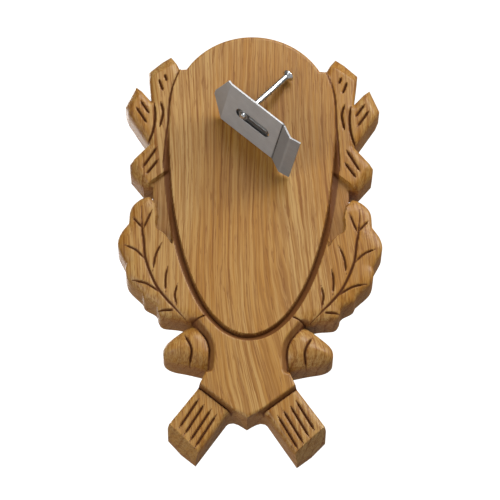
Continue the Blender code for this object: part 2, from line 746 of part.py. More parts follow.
def clamp_sections():
    """Stations along the strip: (x, y, direction angle, lower edge, upper edge)."""
    bend = math.radians(POINT_BEND)
    flange = math.atan2(-FLANGE_RISE, FLANGE_REACH)
    lip = math.atan2(LIP_DROP, LIP_REACH)
    tip_low = POINT_TIP_HEIGHT - 0.5 * POINT_TIP_WIDTH
    tip_high = POINT_TIP_HEIGHT + 0.5 * POINT_TIP_WIDTH
    sections = []

    def point_section(reach, angle):
        low = tip_low * reach / POINT_LENGTH
        share = max(0.0, (reach - POINT_SHOULDER) / (POINT_LENGTH - POINT_SHOULDER))
        high = CLAMP_WIDTH + (tip_high - CLAMP_WIDTH) * share
        return -reach * math.cos(bend), reach * math.sin(bend), angle, low, high

    sections.append(point_section(POINT_LENGTH, -bend))
    sections.append(point_section(POINT_SHOULDER, -bend))
    sections.append(point_section(1.0, -bend))
    sections.append((0.0, 0.0, -0.5 * bend, 0.0, CLAMP_WIDTH))
    sections.append((1.0, 0.0, 0.0, 0.0, CLAMP_WIDTH))
    sections.append((PLATE_LENGTH - 0.8, 0.0, 0.0, 0.0, CLAMP_WIDTH))
    x, y = PLATE_LENGTH, 0.0
    sections.append((x, y, 0.5 * flange, 0.0, CLAMP_WIDTH))
    for share in (0.08, 0.88):
        sections.append((x + share * FLANGE_REACH, y - share * FLANGE_RISE, flange, 0.0, CLAMP_WIDTH))
    x, y = x + FLANGE_REACH, y - FLANGE_RISE
    sections.append((x, y, 0.5 * (flange + lip), 0.0, CLAMP_WIDTH))
    for share in (0.16, 1.0):
        sections.append((x + share * LIP_REACH, y + share * LIP_DROP, lip, 0.0, CLAMP_WIDTH))
    return sections


def make_clamp(material, place):
    """Bent steel strip with a pointed end, a flange and lip at the other, and a round-ended slot."""
    vertices = []
    faces = []
    sections = clamp_sections()
    for x, y, angle, low, high in sections:
        back = (-math.sin(angle) * SHEET_THICK, math.cos(angle) * SHEET_THICK)
        for z in (low, high):
            vertices.append((x, y, z))
            vertices.append((x + back[0], y + back[1], z))
    for index in range(len(sections) - 1):
        a = 4 * index
        b = a + 4
        faces.extend(((a, a + 2, b + 2, b), (a + 1, b + 1, b + 3, a + 3),
                      (a, b, b + 1, a + 1), (a + 2, a + 3, b + 3, b + 2)))
    last = 4 * (len(sections) - 1)
    faces.extend(((0, 1, 3, 2), (last, last + 2, last + 3, last + 1)))
    clamp = mesh_object("clamp", vertices, faces, material)
    clamp.matrix_world = place

    radius = 0.5 * slot_width()
    shape = []
    for centre, start in ((SLOT_START + SLOT_LENGTH - radius, -0.5), (SLOT_START + radius, 0.5)):
        for index in range(ARC_STEPS // 2 + 1):
            turn = math.pi * (start + index / (ARC_STEPS // 2))
            shape.append((centre + radius * math.cos(turn), SCREW_UP + radius * math.sin(turn)))
    cutter = prism("slot_cut", shape, 0.0, -CUTTER_OVERRUN, SHEET_THICK + CUTTER_OVERRUN, material)
    cut_away(clamp, cutter)
    return clamp


def collar_radius():
    """Outer radius of the nut's collar around the screw."""
    return 0.5 * SCREW_DIAMETER + FIT_GAP + COLLAR_WALL


def slot_width():
    """Width of the clamp's slot, in which the nut's collar slides."""
    return 2.0 * (collar_radius() + FIT_GAP)


def make_screw(material, place):
    """Countersunk screw with a cross recess, its end in the slot and its head behind the clamp."""
    tip = -SCREW_TIP_OUT
    top = tip + SCREW_LENGTH
    shank = 0.5 * SCREW_DIAMETER
    head = 0.5 * HEAD_DIAMETER
    profile = ((0.0, tip), (shank - 0.5, tip), (shank, tip + 0.5), (shank, top - HEAD_RIM - HEAD_CONE),
               (head, top - HEAD_RIM), (head, top), (0.0, top))
    screw = revolve("screw", profile, material)
    shift = Matrix.Translation(Vector((SCREW_ALONG, 0.0, SCREW_UP)) * MM)
    screw.matrix_world = place @ shift
    reach = 0.5 * RECESS_SPAN
    half = 0.5 * RECESS_WIDTH
    shape = ((half, -reach), (half, -half), (reach, -half), (reach, half), (half, half), (half, reach),
             (-half, reach), (-half, half), (-reach, half), (-reach, -half), (-half, -half), (-half, -reach))
    cut_away(screw, prism("recess_cut", shape, 0.0, top - RECESS_DEPTH, top + CUTTER_OVERRUN, material))
    return screw


def make_nut(material, place):
    """Sliding plate behind the slot, with a round collar that stands in the slot around the screw."""
    front = SHEET_THICK + FIT_GAP
    back = front + NUT_PLATE_THICK
    bore = 0.5 * SCREW_DIAMETER + FIT_GAP
    collar = collar_radius()
    half = 0.5 * NUT_PLATE_WIDTH
    steps = ROUND_SIDES
    vertices = []
    for index in range(steps):
        turn = 2.0 * math.pi * (index + 0.5) / steps
        c, s = math.cos(turn), math.sin(turn)
        reach = half / max(abs(c), abs(s))
        x, z = reach * c, reach * s
        if x > 0.99 * half:
            x = NUT_PLATE_LENGTH - half
        for radius, y in ((bore, 0.2), (collar, 0.2), (collar, front)):
            vertices.append((radius * c, y, radius * s))
        vertices.append((x, front, z))
        vertices.append((x, back, z))
        vertices.append((bore * c, back, bore * s))
    faces = []
    ring = 6
    for index in range(steps):
        a = ring * index
        b = ring * ((index + 1) % steps)
        for step in range(ring):
            following = (step + 1) % ring
            faces.append((a + step, b + step, b + following, a + following))
    nut = mesh_object("sliding_nut", vertices, faces, material)
    nut.matrix_world = place @ Matrix.Translation(Vector((SCREW_ALONG, 0.0, SCREW_UP)) * MM)
    return nut


def main():
    clear_scene()
    oak = make_material("lacquered_oak", (0.46, 0.27, 0.11), 0.42, 0.0)
    steel = make_material("brushed_steel", (0.42, 0.41, 0.40), 0.38, 1.0)
    zinc = make_material("zinc_plated_screw", (0.72, 0.75, 0.78), 0.22, 1.0)
    dark_zinc = make_material("zinc_plated_nut", (0.50, 0.50, 0.48), 0.30, 1.0)
    make_board(oak)
    place = clamp_frame()
    make_clamp(steel, place)
    make_screw(zinc, place)
    make_nut(dark_zinc, place)


if __name__ == "__main__":
    main()
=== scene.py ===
import math

import bmesh
import bpy
import numpy as np
from bpy.props import FloatProperty, FloatVectorProperty, PointerProperty
from mathutils import Matrix, Vector
from mathutils.geometry import delaunay_2d_cdt


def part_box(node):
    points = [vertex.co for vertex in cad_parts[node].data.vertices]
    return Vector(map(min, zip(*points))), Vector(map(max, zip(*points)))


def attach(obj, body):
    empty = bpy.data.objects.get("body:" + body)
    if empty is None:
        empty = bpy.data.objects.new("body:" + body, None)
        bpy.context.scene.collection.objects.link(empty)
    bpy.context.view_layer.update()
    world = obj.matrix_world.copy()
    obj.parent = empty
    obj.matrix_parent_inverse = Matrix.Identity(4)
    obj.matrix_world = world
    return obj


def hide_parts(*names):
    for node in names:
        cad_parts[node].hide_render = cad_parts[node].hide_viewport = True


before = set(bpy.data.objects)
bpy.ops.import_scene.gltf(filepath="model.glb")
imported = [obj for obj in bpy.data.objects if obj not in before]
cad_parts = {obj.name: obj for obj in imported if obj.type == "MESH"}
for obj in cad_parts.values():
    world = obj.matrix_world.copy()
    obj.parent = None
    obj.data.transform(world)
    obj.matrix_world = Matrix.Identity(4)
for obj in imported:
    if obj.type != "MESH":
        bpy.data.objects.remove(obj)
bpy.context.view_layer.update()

bl_info = {
    "name": "Antler mounting plaque",
    "version": (1, 0, 0),
    "blender": (4, 5, 0),
    "location": "3D View > Sidebar > Plaque",
    "description": "Carved oak plaque for small antlers with its bent steel clamp, screw and sliding nut",
    "category": "Add Mesh",
}

MM = 0.001
BOARD_LOW, BOARD_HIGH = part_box("plaque")

# Drawing of the right half: outline stretches below the arch, in millimetres.
# A stretch marked True is a smooth curve through its points, the others are straight.
DRAWING_HEIGHT = 280.2
DRAWING_WIDTH = 164.6
ARCH_HALF_WIDTH = 42.2
ARCH_FOOT = 256.7
OUTLINE = (
    (False, ((42.2, 256.7), (45.9, 256.4), (52.5, 269.2), (57.9, 265.6), (66.5, 257.2), (64.0, 235.0))),
    (False, ((64.0, 235.0), (69.4, 241.2), (74.2, 247.0), (80.5, 232.6), (78.6, 227.7), (64.4, 205.8))),
    (False, ((64.4, 205.8), (76.6, 192.3), (75.9, 187.4), (67.5, 177.2), (61.3, 177.2), (61.3, 168.4))),
    (True, ((61.3, 168.4), (64.1, 169.8), (69.7, 167.4), (74.7, 161.5), (76.0, 151.4))),
    (True, ((76.0, 151.4), (80.4, 145.0), (82.2, 139.5), (81.6, 134.9), (76.5, 124.9))),
    (True, ((76.5, 124.9), (77.0, 120.4), (74.7, 113.7), (66.2, 105.2))),
    (True, ((66.2, 105.2), (64.3, 101.6), (58.5, 98.3), (56.7, 96.2))),
    (True, ((56.7, 96.2), (55.9, 92.9), (52.9, 89.6), (42.8, 88.4), (34.3, 86.0))),
    (True, ((34.3, 86.0), (43.4, 79.2), (50.3, 73.1), (52.3, 68.3), (51.3, 64.2), (46.4, 61.1),
            (36.5, 59.1), (24.3, 56.2))),
    (False, ((24.3, 56.2), (30.2, 43.5))),
    (False, ((30.2, 43.5), (48.3, 19.0), (48.2, 16.0), (39.9, 7.0), (31.0, 0.0), (12.6, 26.6),
             (11.1, 27.8), (8.4, 28.2), (5.5, 27.3), (2.6, 25.6), (0.0, 23.9))),
)

# Oval field: half width, widest height, foot and the fullness of each half
OVAL_HALF_WIDTH = 51.8
OVAL_WIDEST = 219.6
OVAL_FOOT = 78.3
OVAL_UPPER_POWER = 2.72
OVAL_LOWER_POWER = 2.04
GROOVE_FADE_TOP = 226.7
GROOVE_FADE_END = 199.6
GROOVE_STEEP = 1.0
GROOVE_OPEN_TOP = 232.0
GROOVE_OPEN_END = 188.0
GROOVE_LEAST_WIDTH = 1.2
GROOVE_EDGE_TOP = 255.4
FIELD_LINE_WIDTH = 1.5
FIELD_LINE_DEPTH = 0.8
FIELD_LINE_TAPER = 0.06
FIELD_LINE_FADE = 20.0
FORM_OVERLAP = 0.5

# Depth of each form below the field, and how far its rounded edge falls over which width
BRANCH_DEPTH = 1.6
BRANCH_CROWN = 1.8
BRANCH_CROWN_WIDTH = 5.0
LEAF_DEPTH = 0.8
LEAF_CROWN = 2.4
LEAF_CROWN_WIDTH = 8.0
ACORN_DEPTH = 0.6
ACORN_CROWN = 6.4
ACORN_CROWN_WIDTH = 11.0
ACORN_CUP_CROWN = 2.0
ACORN_CUP_WIDTH = 6.0
FOOT_DEPTH = 2.6
FOOT_CROWN = 1.0
FOOT_CROWN_WIDTH = 4.0
STEP_WIDTH = 0.9
EDGE_FALL = 0.9

# Hollow between the lower stub and the leaf, and the lines that part leaf, acorn and stem end
HOLLOW = ((50.1, 190.1), (55.4, 185.6), (61.3, 180.9), (66.7, 176.3), (63.6, 170.1), (60.1, 164.4),
          (58.7, 157.5), (59.7, 150.9), (58.5, 147.0), (54.8, 145.2), (51.5, 141.4), (48.9, 136.6),
          (47.6, 139.0), (49.6, 156.3))
LEAF_TOP = 176.1
NECK_TOP = 94.1
LEAF_STEM_LINE = ((35.0, 86.1), (27.6, 89.8))
ACORN_LINE = ((34.3, 86.0), (29.8, 80.2), (25.3, 73.6), (23.8, 66.0), (24.3, 56.2))
STEM_LINE = ((30.2, 43.9), (0.0, 20.3))
END_CUTS = (
    ((65.6, 250.6), (49.4, 261.8)),
    ((77.0, 228.6), (68.9, 245.4)),
    ((64.6, 178.8), (73.5, 194.3)),
)
END_CUT_DEPTH = 3.4
END_CUT_REACH = 4.6
END_CUT_MARGIN = 3.0
END_CUT_SPAN = 2.5
STEM_CUT = ((29.8, 2.8), (46.8, 19.4))
STEM_CUT_DEPTH = 16.0
STEM_CUT_REACH = 4.2
PART_LINE_DEPTH = 4.5
PART_LINE_STEEP = 0.8
ACORN_SLOPE = 3.8
STEM_SLOPE = 2.0
VEINS = (
    ((35.5, 84.8), (43.7, 92.5), (53.3, 103.3), (58.7, 111.5), (64.5, 126.4), (66.2, 140.0), (67.3, 146.5),
     (68.1, 162.6)),
    ((61.6, 159.7), (66.6, 147.0)),
    ((73.4, 155.2), (67.3, 147.5)),
    ((78.2, 136.2), (70.9, 132.7), (65.0, 126.7)),
    ((72.8, 113.2), (63.4, 110.4), (54.5, 104.3)),
    ((56.2, 93.1), (45.5, 93.4)),
    ((54.8, 138.1), (58.5, 129.4), (59.9, 119.0)),
    ((50.7, 122.4), (52.0, 114.2), (51.7, 104.9)),
    ((44.4, 110.9), (45.8, 103.7), (44.6, 96.1)),
)
BARK_CUTS = (
    ((59.7, 249.9), (56.9, 242.2)),
    ((56.1, 253.2), (54.6, 249.1)),
    ((58.3, 234.6), (56.5, 226.9), (58.4, 216.4)),
    ((73.5, 230.4), (66.4, 219.5)),
    ((70.8, 234.8), (65.1, 226.0)),
    ((62.3, 234.1), (61.4, 224.3), (62.6, 213.6), (66.0, 204.4)),
    ((59.5, 203.1), (68.3, 188.7)),
    ((58.6, 194.5), (65.7, 184.4)),
    ((39.2, 77.3), (34.9, 68.0), (35.8, 58.7)),
    ((18.6, 26.3), (31.6, 4.6)),
    ((21.8, 29.9), (34.8, 8.3)),
    ((26.1, 32.9), (38.2, 12.6)),
    ((29.6, 36.3), (41.4, 16.9)),
)

# Width of the V cuts, and over which share of its length each grows at its ends from its least size
MIDRIB_WIDTH = 2.1
VEIN_WIDTH = 1.7
LEAF_STEM_WIDTH = 1.6
BARK_WIDTH = 2.0
VEIN_TAPER = 0.22
BARK_TAPER = 0.14
LEAST_TAPER = 0.12

# Painted shade from 0, bare wood, to 1, darkest, for the groove, the parting lines, the hollow and the
# holes, and the widths over which it starts and ends
GROOVE_SHADE = 0.12
GROOVE_FOOT_SHADE = 0.46
PART_SLOPE_SHADE = 0.42
HOLLOW_SHADE = 0.22
BORE_SHADE = 0.9
HANG_LIP_SHADE = 0.8
SHADE_START = 0.4
PART_SHADE_WIDTH = 1.1
WALL_SHADE_END = 1.7
WALL_SHADE_FADE = 0.8

# Back of the board, in millimetres
SCREW_HOLE_HEIGHT = 220.9
HANG_HEIGHT = 238.3
HANG_LIP = 4.0
HANG_DEPTH = 11.0
HANG_UNDERCUT = 0.4
HANG_SLOT_RISE = 12.0

# Mesh of the board: places of a wall's rows as shares of its depth, spacing of points on the carving's
# lines, how near in grid steps a point is moved onto a line, and the turn in degrees that makes a corner
WALL_ROWS = (0.6, 0.2, 0.0)
LINE_STEP = 1.0
SNAP_REACH = 0.42
CORNER_TURN = 20.0
FACE, SIDE, BACK = range(3)

# Clamp, screw and nut, in millimetres
FLANGE_REACH = 9.3
FLANGE_RISE = 4.95
LIP_REACH = 7.2
LIP_DROP = 1.5
FLANGE_LENGTH = math.hypot(FLANGE_REACH, FLANGE_RISE)
LIP_LENGTH = math.hypot(LIP_REACH, LIP_DROP)
POINT_LENGTH = 11.7
POINT_BEND = 18.0
POINT_SHOULDER = 3.0
POINT_TIP_WIDTH = 3.2
POINT_TIP_HEIGHT = 13.9
SLOT_START = 8.7
SLOT_LENGTH = 26.6
SCREW_TIP_OUT = 1.5
SCREW_ALONG = 14.1
SCREW_UP = 17.3
HEAD_CONE = 2.0
HEAD_RIM = 0.4
FIT_GAP = 0.3
REST_GAP = 0.3
COLLAR_WALL = 1.1
NUT_PLATE_THICK = 1.3
NUT_PLATE_WIDTH = 11.0
NUT_PLATE_LENGTH = 25.0
BAR_START = 4.2
BAR_END = 18.6
BAR_LOW = -1.1
BAR_HIGH = 1.0
BAR_RISE = 1.1
SHEET_RIM = 0.22
NUT_RIM = 0.25
NUT_CORNER = 1.2
BAR_RIM = 0.2
BAR_CORNER = 0.4
COLLAR_FRONT = 0.2
COLLAR_RIM = 0.15
RECESS_REACH = 2.0
RECESS_HALF_WIDTH = 0.42
TIP_CHAMFER = 0.45

# Painted shade on the steel, from 0 to 1, on the flange and lip, the point, the slot's wall and the nut
# behind the sheet; the two LIGHT values are painted highlight that takes some of it back
FLANGE_SHADE = 0.34
LIP_BEND_LIGHT = 0.12
POINT_SHADE = 0.30
POINT_LIGHT = 0.24
SLOT_SHADE = 0.85
COLLAR_SHADE = 0.5
NUT_SHADE = 0.75

# Colours that no setting changes
PORE_COLOUR = (0.20, 0.074, 0.014, 1.0)
# SHADE_COLOUR is the colour of the steel's painted shade
SHADE_COLOUR = (0.014, 0.013, 0.012, 1.0)
SKY_COLOUR = (1.0, 0.92, 0.84, 1.0)
WHITE = (1.0, 1.0, 1.0, 1.0)

# Backdrop in metres
BACKDROP_REACH = 4.0
BACKDROP_BEND = 0.6

# Camera: lens and sensor in millimetres, places in metres and angles in degrees
CAMERA_LENS = 232.128
CAMERA_SENSOR = 36.0
CAMERA_DISTANCE = 2.0
CAMERA_TARGET = (0.0, -0.025, -0.0066)
CAMERA_PITCH = 22.0
CAMERA_ROLL = 1.0


# Curves and distances on the drawing, as whole arrays


def smooth_curve(points, step):
    """Catmull-Rom curve: between two points each coordinate is a cubic in t whose slope at a point is
    half the difference of its two neighbours."""
    points = np.array(points, float)
    ends = np.vstack((2 * points[0] - points[1], points, 2 * points[-1] - points[-2]))
    samples = []
    for before, start, end, after in zip(ends, ends[1:], ends[2:], ends[3:]):
        count = max(1, math.ceil(np.linalg.norm(end - start) / step))
        t = (np.arange(count) / count)[:, None]
        samples.append(0.5 * (2 * start + (end - before) * t
                              + (2 * before - 5 * start + 4 * end - after) * t ** 2
                              + (3 * start - before - 3 * end + after) * t ** 3))
    return np.vstack(samples + [points[-1:]])


def line_place(x, z, line):
    """Nearest place on a line of straight pieces: its distance, how far along it lies from 0 to 1, and
    its two coordinates."""
    line = np.array(line, float)
    starts = np.concatenate(([0.0], np.cumsum(np.linalg.norm(np.diff(line, axis=0), axis=1))))
    best = np.full(np.shape(x), np.inf)
    along, near_x, near_z = (np.zeros(np.shape(x)) for _ in range(3))
    for index, (start, end) in enumerate(zip(line, line[1:])):
        run = end - start
        t = np.clip(((x - start[0]) * run[0] + (z - start[1]) * run[1]) / (run @ run), 0.0, 1.0)
        foot_x = start[0] + t * run[0]
        foot_z = start[1] + t * run[1]
        distance = np.hypot(x - foot_x, z - foot_z)
        nearer = distance < best
        best = np.where(nearer, distance, best)
        length = starts[index + 1] - starts[index]
        along = np.where(nearer, (starts[index] + t * length) / starts[-1], along)
        near_x = np.where(nearer, foot_x, near_x)
        near_z = np.where(nearer, foot_z, near_z)
    return best, along, near_x, near_z


def inside(x, z, polygon):
    """True where a ray to the right crosses the polygon's sides an odd number of times."""
    polygon = np.array(polygon, float)
    result = np.zeros(np.shape(x), bool)
    for (x0, z0), (x1, z1) in zip(polygon, np.roll(polygon, -1, axis=0)):
        crosses = (z0 > z) != (z1 > z)
        rise = z1 - z0 if z1 != z0 else 1.0
        result ^= crosses & (x < x0 + (z - z0) * (x1 - x0) / rise)
    return result


def depth_inside(x, z, polygon):
    """Distance to a closed polygon's sides, positive inside it and negative outside."""
    distance = line_place(x, z, np.vstack((polygon, polygon[:1])))[0]
    return np.where(inside(x, z, polygon), distance, -distance)


def crown(distance, width, drop):
    """Fall of a rounded surface: drop times (1 - distance / width) squared, nothing beyond width."""
    return drop * (1.0 - np.clip(distance / width, 0.0, 1.0)) ** 2


def oval_line(offset, step):
    """Right half of the oval's edge from top to foot. A superellipse: |x/a|^p + |z/b|^p = 1, with its own
    p and b above and below its widest height; offset moves it outwards along its normal."""
    angle = np.radians(np.linspace(90.0, -90.0, math.ceil(100.0 * math.pi / step)))
    c, s = np.cos(angle), np.sin(angle)
    power = np.where(s >= 0, OVAL_UPPER_POWER, OVAL_LOWER_POWER)
    reach = np.where(s >= 0, DRAWING_HEIGHT - OVAL_WIDEST, OVAL_WIDEST - OVAL_FOOT)
    x = OVAL_HALF_WIDTH * np.abs(c) ** (2 / power)
    z = reach * np.abs(s) ** (2 / power)
    slope = np.column_stack(((x / OVAL_HALF_WIDTH) ** (power - 1) / OVAL_HALF_WIDTH,
                             np.sign(s) * (z / reach) ** (power - 1) / reach))
    slope /= np.linalg.norm(slope, axis=1)[:, None]
    return np.column_stack((x, OVAL_WIDEST + np.sign(s) * z)) + offset * slope


def half_outline(step):
    """Right half of the outline: a circle's arc through the arch's top and foot, then every stretch."""
    rise = DRAWING_HEIGHT - ARCH_FOOT
    radius = (ARCH_HALF_WIDTH ** 2 + rise ** 2) / (2.0 * rise)
    sweep = math.asin(ARCH_HALF_WIDTH / radius)
    turns = np.linspace(0.0, sweep, math.ceil(radius * sweep / step) + 1)
    samples = [np.column_stack((radius * np.sin(turns), DRAWING_HEIGHT - radius * (1.0 - np.cos(turns))))]
    for curved, points in OUTLINE:
        samples.append((smooth_curve(points, step) if curved else np.array(points, float))[1:])
    return np.vstack(samples)


def mirrored(half):
    """Whole loop of a right half whose two ends lie on the centre line."""
    return np.vstack((half, half[1:-1][::-1] * (-1.0, 1.0)))


# Carved relief of the board's face


def end_cut(x, z, ridge, depth, reach):
    """Depth of an end cut: it falls evenly with the distance beyond its ridge, on the ridge's right."""
    start, end = np.array(ridge)
    length = np.linalg.norm(end - start)
    run = (end - start) / length
    along = (x - start[0]) * run[0] + (z - start[1]) * run[1]
    beyond = (x - start[0]) * run[1] - (z - start[1]) * run[0]
    near = (along > -END_CUT_MARGIN) & (along < length + END_CUT_MARGIN) & (beyond < END_CUT_SPAN * reach)
    return np.where(near, depth * np.clip(beyond / reach, 0.0, END_CUT_SPAN), 0.0)


def groove_width(z, full):
    """Width of the groove at a height: it opens evenly downwards from its least to its full width."""
    share = np.clip((GROOVE_OPEN_TOP - z) / (GROOVE_OPEN_TOP - GROOVE_OPEN_END), 0.0, 1.0)
    return np.maximum(full * share, GROOVE_LEAST_WIDTH)


class Relief:
    """Depth of the carved face below the field, and how dark each place is: stain with painted shade in the
    V cuts, and painted shade in the groove, along the parting lines and in the hollow.
    """

    def __init__(self, settings):
        self.settings = settings
        self.half = half_outline(LINE_STEP)
        self.oval = oval_line(0.0, LINE_STEP)
        self.oval_area = np.vstack((self.oval, [(-1.0, OVAL_FOOT), (-1.0, DRAWING_HEIGHT)]))
        self.acorn_line = smooth_curve(ACORN_LINE, LINE_STEP)
        vein_depth, bark_depth = settings.vein_depth / MM, settings.bark_depth / MM
        widths = (MIDRIB_WIDTH, *(VEIN_WIDTH,) * (len(VEINS) - 1))
        self.cuts = [(smooth_curve(points, LINE_STEP), width, vein_depth, VEIN_TAPER)
                     for points, width in zip(VEINS, widths)]
        self.cuts += [(smooth_curve(points, LINE_STEP), BARK_WIDTH, bark_depth, BARK_TAPER)
                      for points in BARK_CUTS]
        self.cuts.append((np.array(LEAF_STEM_LINE), LEAF_STEM_WIDTH, vein_depth, 0.0))
        self.cuts.append((self.field_line(), FIELD_LINE_WIDTH, FIELD_LINE_DEPTH, FIELD_LINE_TAPER))

    def field_line(self):
        """Fine line along the groove's outer edge, from the arch's foot to where the groove is full."""
        full = self.settings.groove_width / MM
        share = groove_width(self.oval[:, 1], full) / full
        share *= np.clip((ARCH_FOOT - self.oval[:, 1]) / FIELD_LINE_FADE, 0.0, 1.0)
        line = self.oval + (oval_line(full, LINE_STEP) - self.oval) * share[:, None]
        return line[(line[:, 1] < ARCH_FOOT + FORM_OVERLAP) & (line[:, 1] > GROOVE_OPEN_END)]

    def bends(self):
        """Lines along which the surface bends sharply, most important first."""
        lines = [self.oval, oval_line(GROOVE_STEEP, LINE_STEP)]
        lines += [line for line, _, _, _ in self.cuts]
        lines += [self.acorn_line, np.array(STEM_LINE)]
        lines += [np.array(ridge) for ridge in (STEM_CUT, *END_CUTS)]
        lines.append(np.array((*HOLLOW, HOLLOW[0])))
        groove_edge = oval_line(self.settings.groove_width / MM, LINE_STEP)
        lines.append(groove_edge[groove_edge[:, 1] < GROOVE_EDGE_TOP])
        return lines

    def forms(self, x, z, edge):
        """Depth of the forms beside the field, and the painted shade of the lines that part them.

        Branch, leaf, acorn and stem end each have their own depth plus a crown towards the edge. A
        parting line is a V: steep on the side of the lower form, and an even slope on the other. Its painted
        shade is darkest along the line and paler over the slope of the higher form."""
        branch = BRANCH_DEPTH + crown(edge, BRANCH_CROWN_WIDTH, BRANCH_CROWN)
        leaf = LEAF_DEPTH + crown(edge, LEAF_CROWN_WIDTH, LEAF_CROWN)
        ground = np.where(z > LEAF_TOP, branch, leaf)
        (leaf_x, leaf_z), (tip_x, tip_z) = LEAF_STEM_LINE
        neck = z < np.interp(x, (0.0, tip_x, leaf_x), (NECK_TOP, tip_z, leaf_z))
        ground = np.where(neck, 0.0, ground)
        cup = line_place(x, z, self.acorn_line)[0]
        acorn = ACORN_DEPTH + crown(edge, ACORN_CROWN_WIDTH, ACORN_CROWN)
        acorn = acorn + crown(cup, ACORN_CUP_WIDTH, ACORN_CUP_CROWN)
        line_x = np.interp(z, self.acorn_line[::-1, 1], self.acorn_line[::-1, 0])
        foot_z = ACORN_LINE[-1][1] - 2.0 * FORM_OVERLAP
        on_acorn = (x > line_x) & (z < ACORN_LINE[0][1]) & (z > foot_z)
        ground = np.where(on_acorn, acorn, ground)
        (corner_x, corner_z), (_, point_z) = STEM_LINE
        on_stem = z < point_z + (corner_z - point_z) * x / corner_x
        ground = np.where(on_stem, FOOT_DEPTH + crown(edge, FOOT_CROWN_WIDTH, FOOT_CROWN), ground)
        stain = np.zeros(np.shape(x))
        for line, slope, low_side in ((self.acorn_line, ACORN_SLOPE, on_acorn),
                                      (STEM_LINE, STEM_SLOPE, on_stem)):
            # Painted shade: dark along each parting line, paler over the higher form's slope
            distance = line_place(x, z, line)[0]
            near = 1.0 - distance / np.where(low_side, PART_LINE_STEEP, slope)
            ground = np.maximum(ground, PART_LINE_DEPTH * near)
            on_slope = np.where(low_side, 0.0, PART_SLOPE_SHADE * np.clip(4.0 * near, 0.0, 1.0))
            stain = np.maximum(stain, np.minimum(1.0 - distance / PART_SHADE_WIDTH, 1.0))
            stain = np.maximum(stain, on_slope)
        for ridge in END_CUTS:
            ground = ground + end_cut(x, z, ridge, END_CUT_DEPTH, END_CUT_REACH)
        return ground + end_cut(x, z, STEM_CUT, STEM_CUT_DEPTH, STEM_CUT_REACH), stain

    def groove(self, z, beyond, ground):
        """Depth of the ground with the groove cut into it, and the groove's painted shade.

        The groove falls steeply from the oval and rises evenly over its width, and it gets shallower, and
        its painted shade paler, up the field's sides. Its wall is darkened with painted shade, and so is all
        of its slope but the last eighth."""
        fade = np.clip((GROOVE_FADE_TOP - z) / (GROOVE_FADE_TOP - GROOVE_FADE_END), 0.0, 1.0)
        bottom = np.maximum(self.settings.groove_depth / MM * fade, ground)
        width = groove_width(z, self.settings.groove_width / MM)
        slope = np.clip((beyond - GROOVE_STEEP) / (width - GROOVE_STEEP), 0.0, 1.0)
        depth = (bottom + (ground - bottom) * slope) * np.clip(beyond / GROOVE_STEEP, 0.0, 1.0)
        # Painted shade over the groove's wall and slope, strongest towards the oval's foot
        start = np.clip(beyond / SHADE_START, 0.0, 1.0)
        wall = start * np.clip((WALL_SHADE_END - beyond) / WALL_SHADE_FADE, 0.0, 1.0)
        strength = GROOVE_SHADE + GROOVE_FOOT_SHADE * fade
        return depth, np.maximum(strength * wall, strength * start * np.clip(8.0 * (1.0 - slope), 0.0, 1.0))

    def face(self, x, z):
        """Depth in millimetres, and the stain and painted shade from 0 to 1.

        The hollow is sunk into the forms and gets painted shade, and the groove is cut into both. Each V cut
        adds a depth that falls to nothing at half its width, tapering at both ends, and darkens with stain
        and painted shade."""
        x = np.abs(x)
        edge = line_place(x, z, self.half)[0]
        in_arch = (z > ARCH_FOOT) & (x < ARCH_HALF_WIDTH + FORM_OVERLAP)
        field = inside(x, z, self.oval_area) | in_arch
        beyond = np.where(field, 0.0, line_place(x, z, self.oval)[0])
        ground, stain = self.forms(x, z, edge)
        in_hollow = np.clip(depth_inside(x, z, np.array(HOLLOW)) / STEP_WIDTH, 0.0, 1.0)
        ground = ground + np.maximum(self.settings.hollow_depth / MM - ground, 0.0) * in_hollow
        depth, groove_shade = self.groove(z, beyond, ground)
        stain = np.maximum(stain, groove_shade)
        # Painted shade in the hollow
        stain = np.maximum(stain, HOLLOW_SHADE * in_hollow * ~field)
        for line, width, deep, taper in self.cuts:
            distance, along, _, _ = line_place(x, z, line)
            size = np.ones(np.shape(x))
            if taper:
                size = np.clip(np.minimum(along, 1.0 - along) / taper, LEAST_TAPER, 1.0)
            near = np.clip(1.0 - distance / (0.5 * width * size), 0.0, 1.0)
            depth = depth + deep * size * near
            # Each V cut darkens with real stain together with painted shade
            stain = np.maximum(stain, np.minimum(1.5 * near, 1.0) * (0.6 + 0.4 * size))
        return depth + crown(edge, self.settings.edge_ease / MM, EDGE_FALL), np.clip(stain, 0.0, 1.0)


# Meshes


def new_piece(name, vertices, faces, materials, slots=None, values=None, layout=None, sharp=35.0):
    """Object at the origin from vertices in metres. Edges that bend more than the sharp angle stay crisp;
    values are float attributes of the vertices, and layout is a place on the flat sheet for each."""
    mesh = bpy.data.meshes.new(name)
    mesh.from_pydata(np.asarray(vertices, float).tolist(), [], faces)
    for material in materials:
        mesh.materials.append(material)
    if slots is not None:
        mesh.polygons.foreach_set("material_index", np.asarray(slots, np.int32))
    for key, numbers in (values or {}).items():
        attribute = mesh.attributes.new(key, "FLOAT", "POINT")
        attribute.data.foreach_set("value", np.asarray(numbers, np.float32))
    if layout is not None:
        corners = np.empty(len(mesh.loops), np.int32)
        mesh.loops.foreach_get("vertex_index", corners)
        chart = mesh.uv_layers.new(name="sheet")
        chart.data.foreach_set("uv", np.asarray(layout, np.float32)[corners].ravel())
    mesh.polygons.foreach_set("use_smooth", np.ones(len(mesh.polygons), bool))
    mesh.update()
    builder = bmesh.new()
    builder.from_mesh(mesh)
    bmesh.ops.recalc_face_normals(builder, faces=builder.faces)
    builder.to_mesh(mesh)
    builder.free()
    mesh.set_sharp_from_angle(angle=math.radians(sharp))
    item = bpy.data.objects.new(name, mesh)
    bpy.context.scene.collection.objects.link(item)
    return item


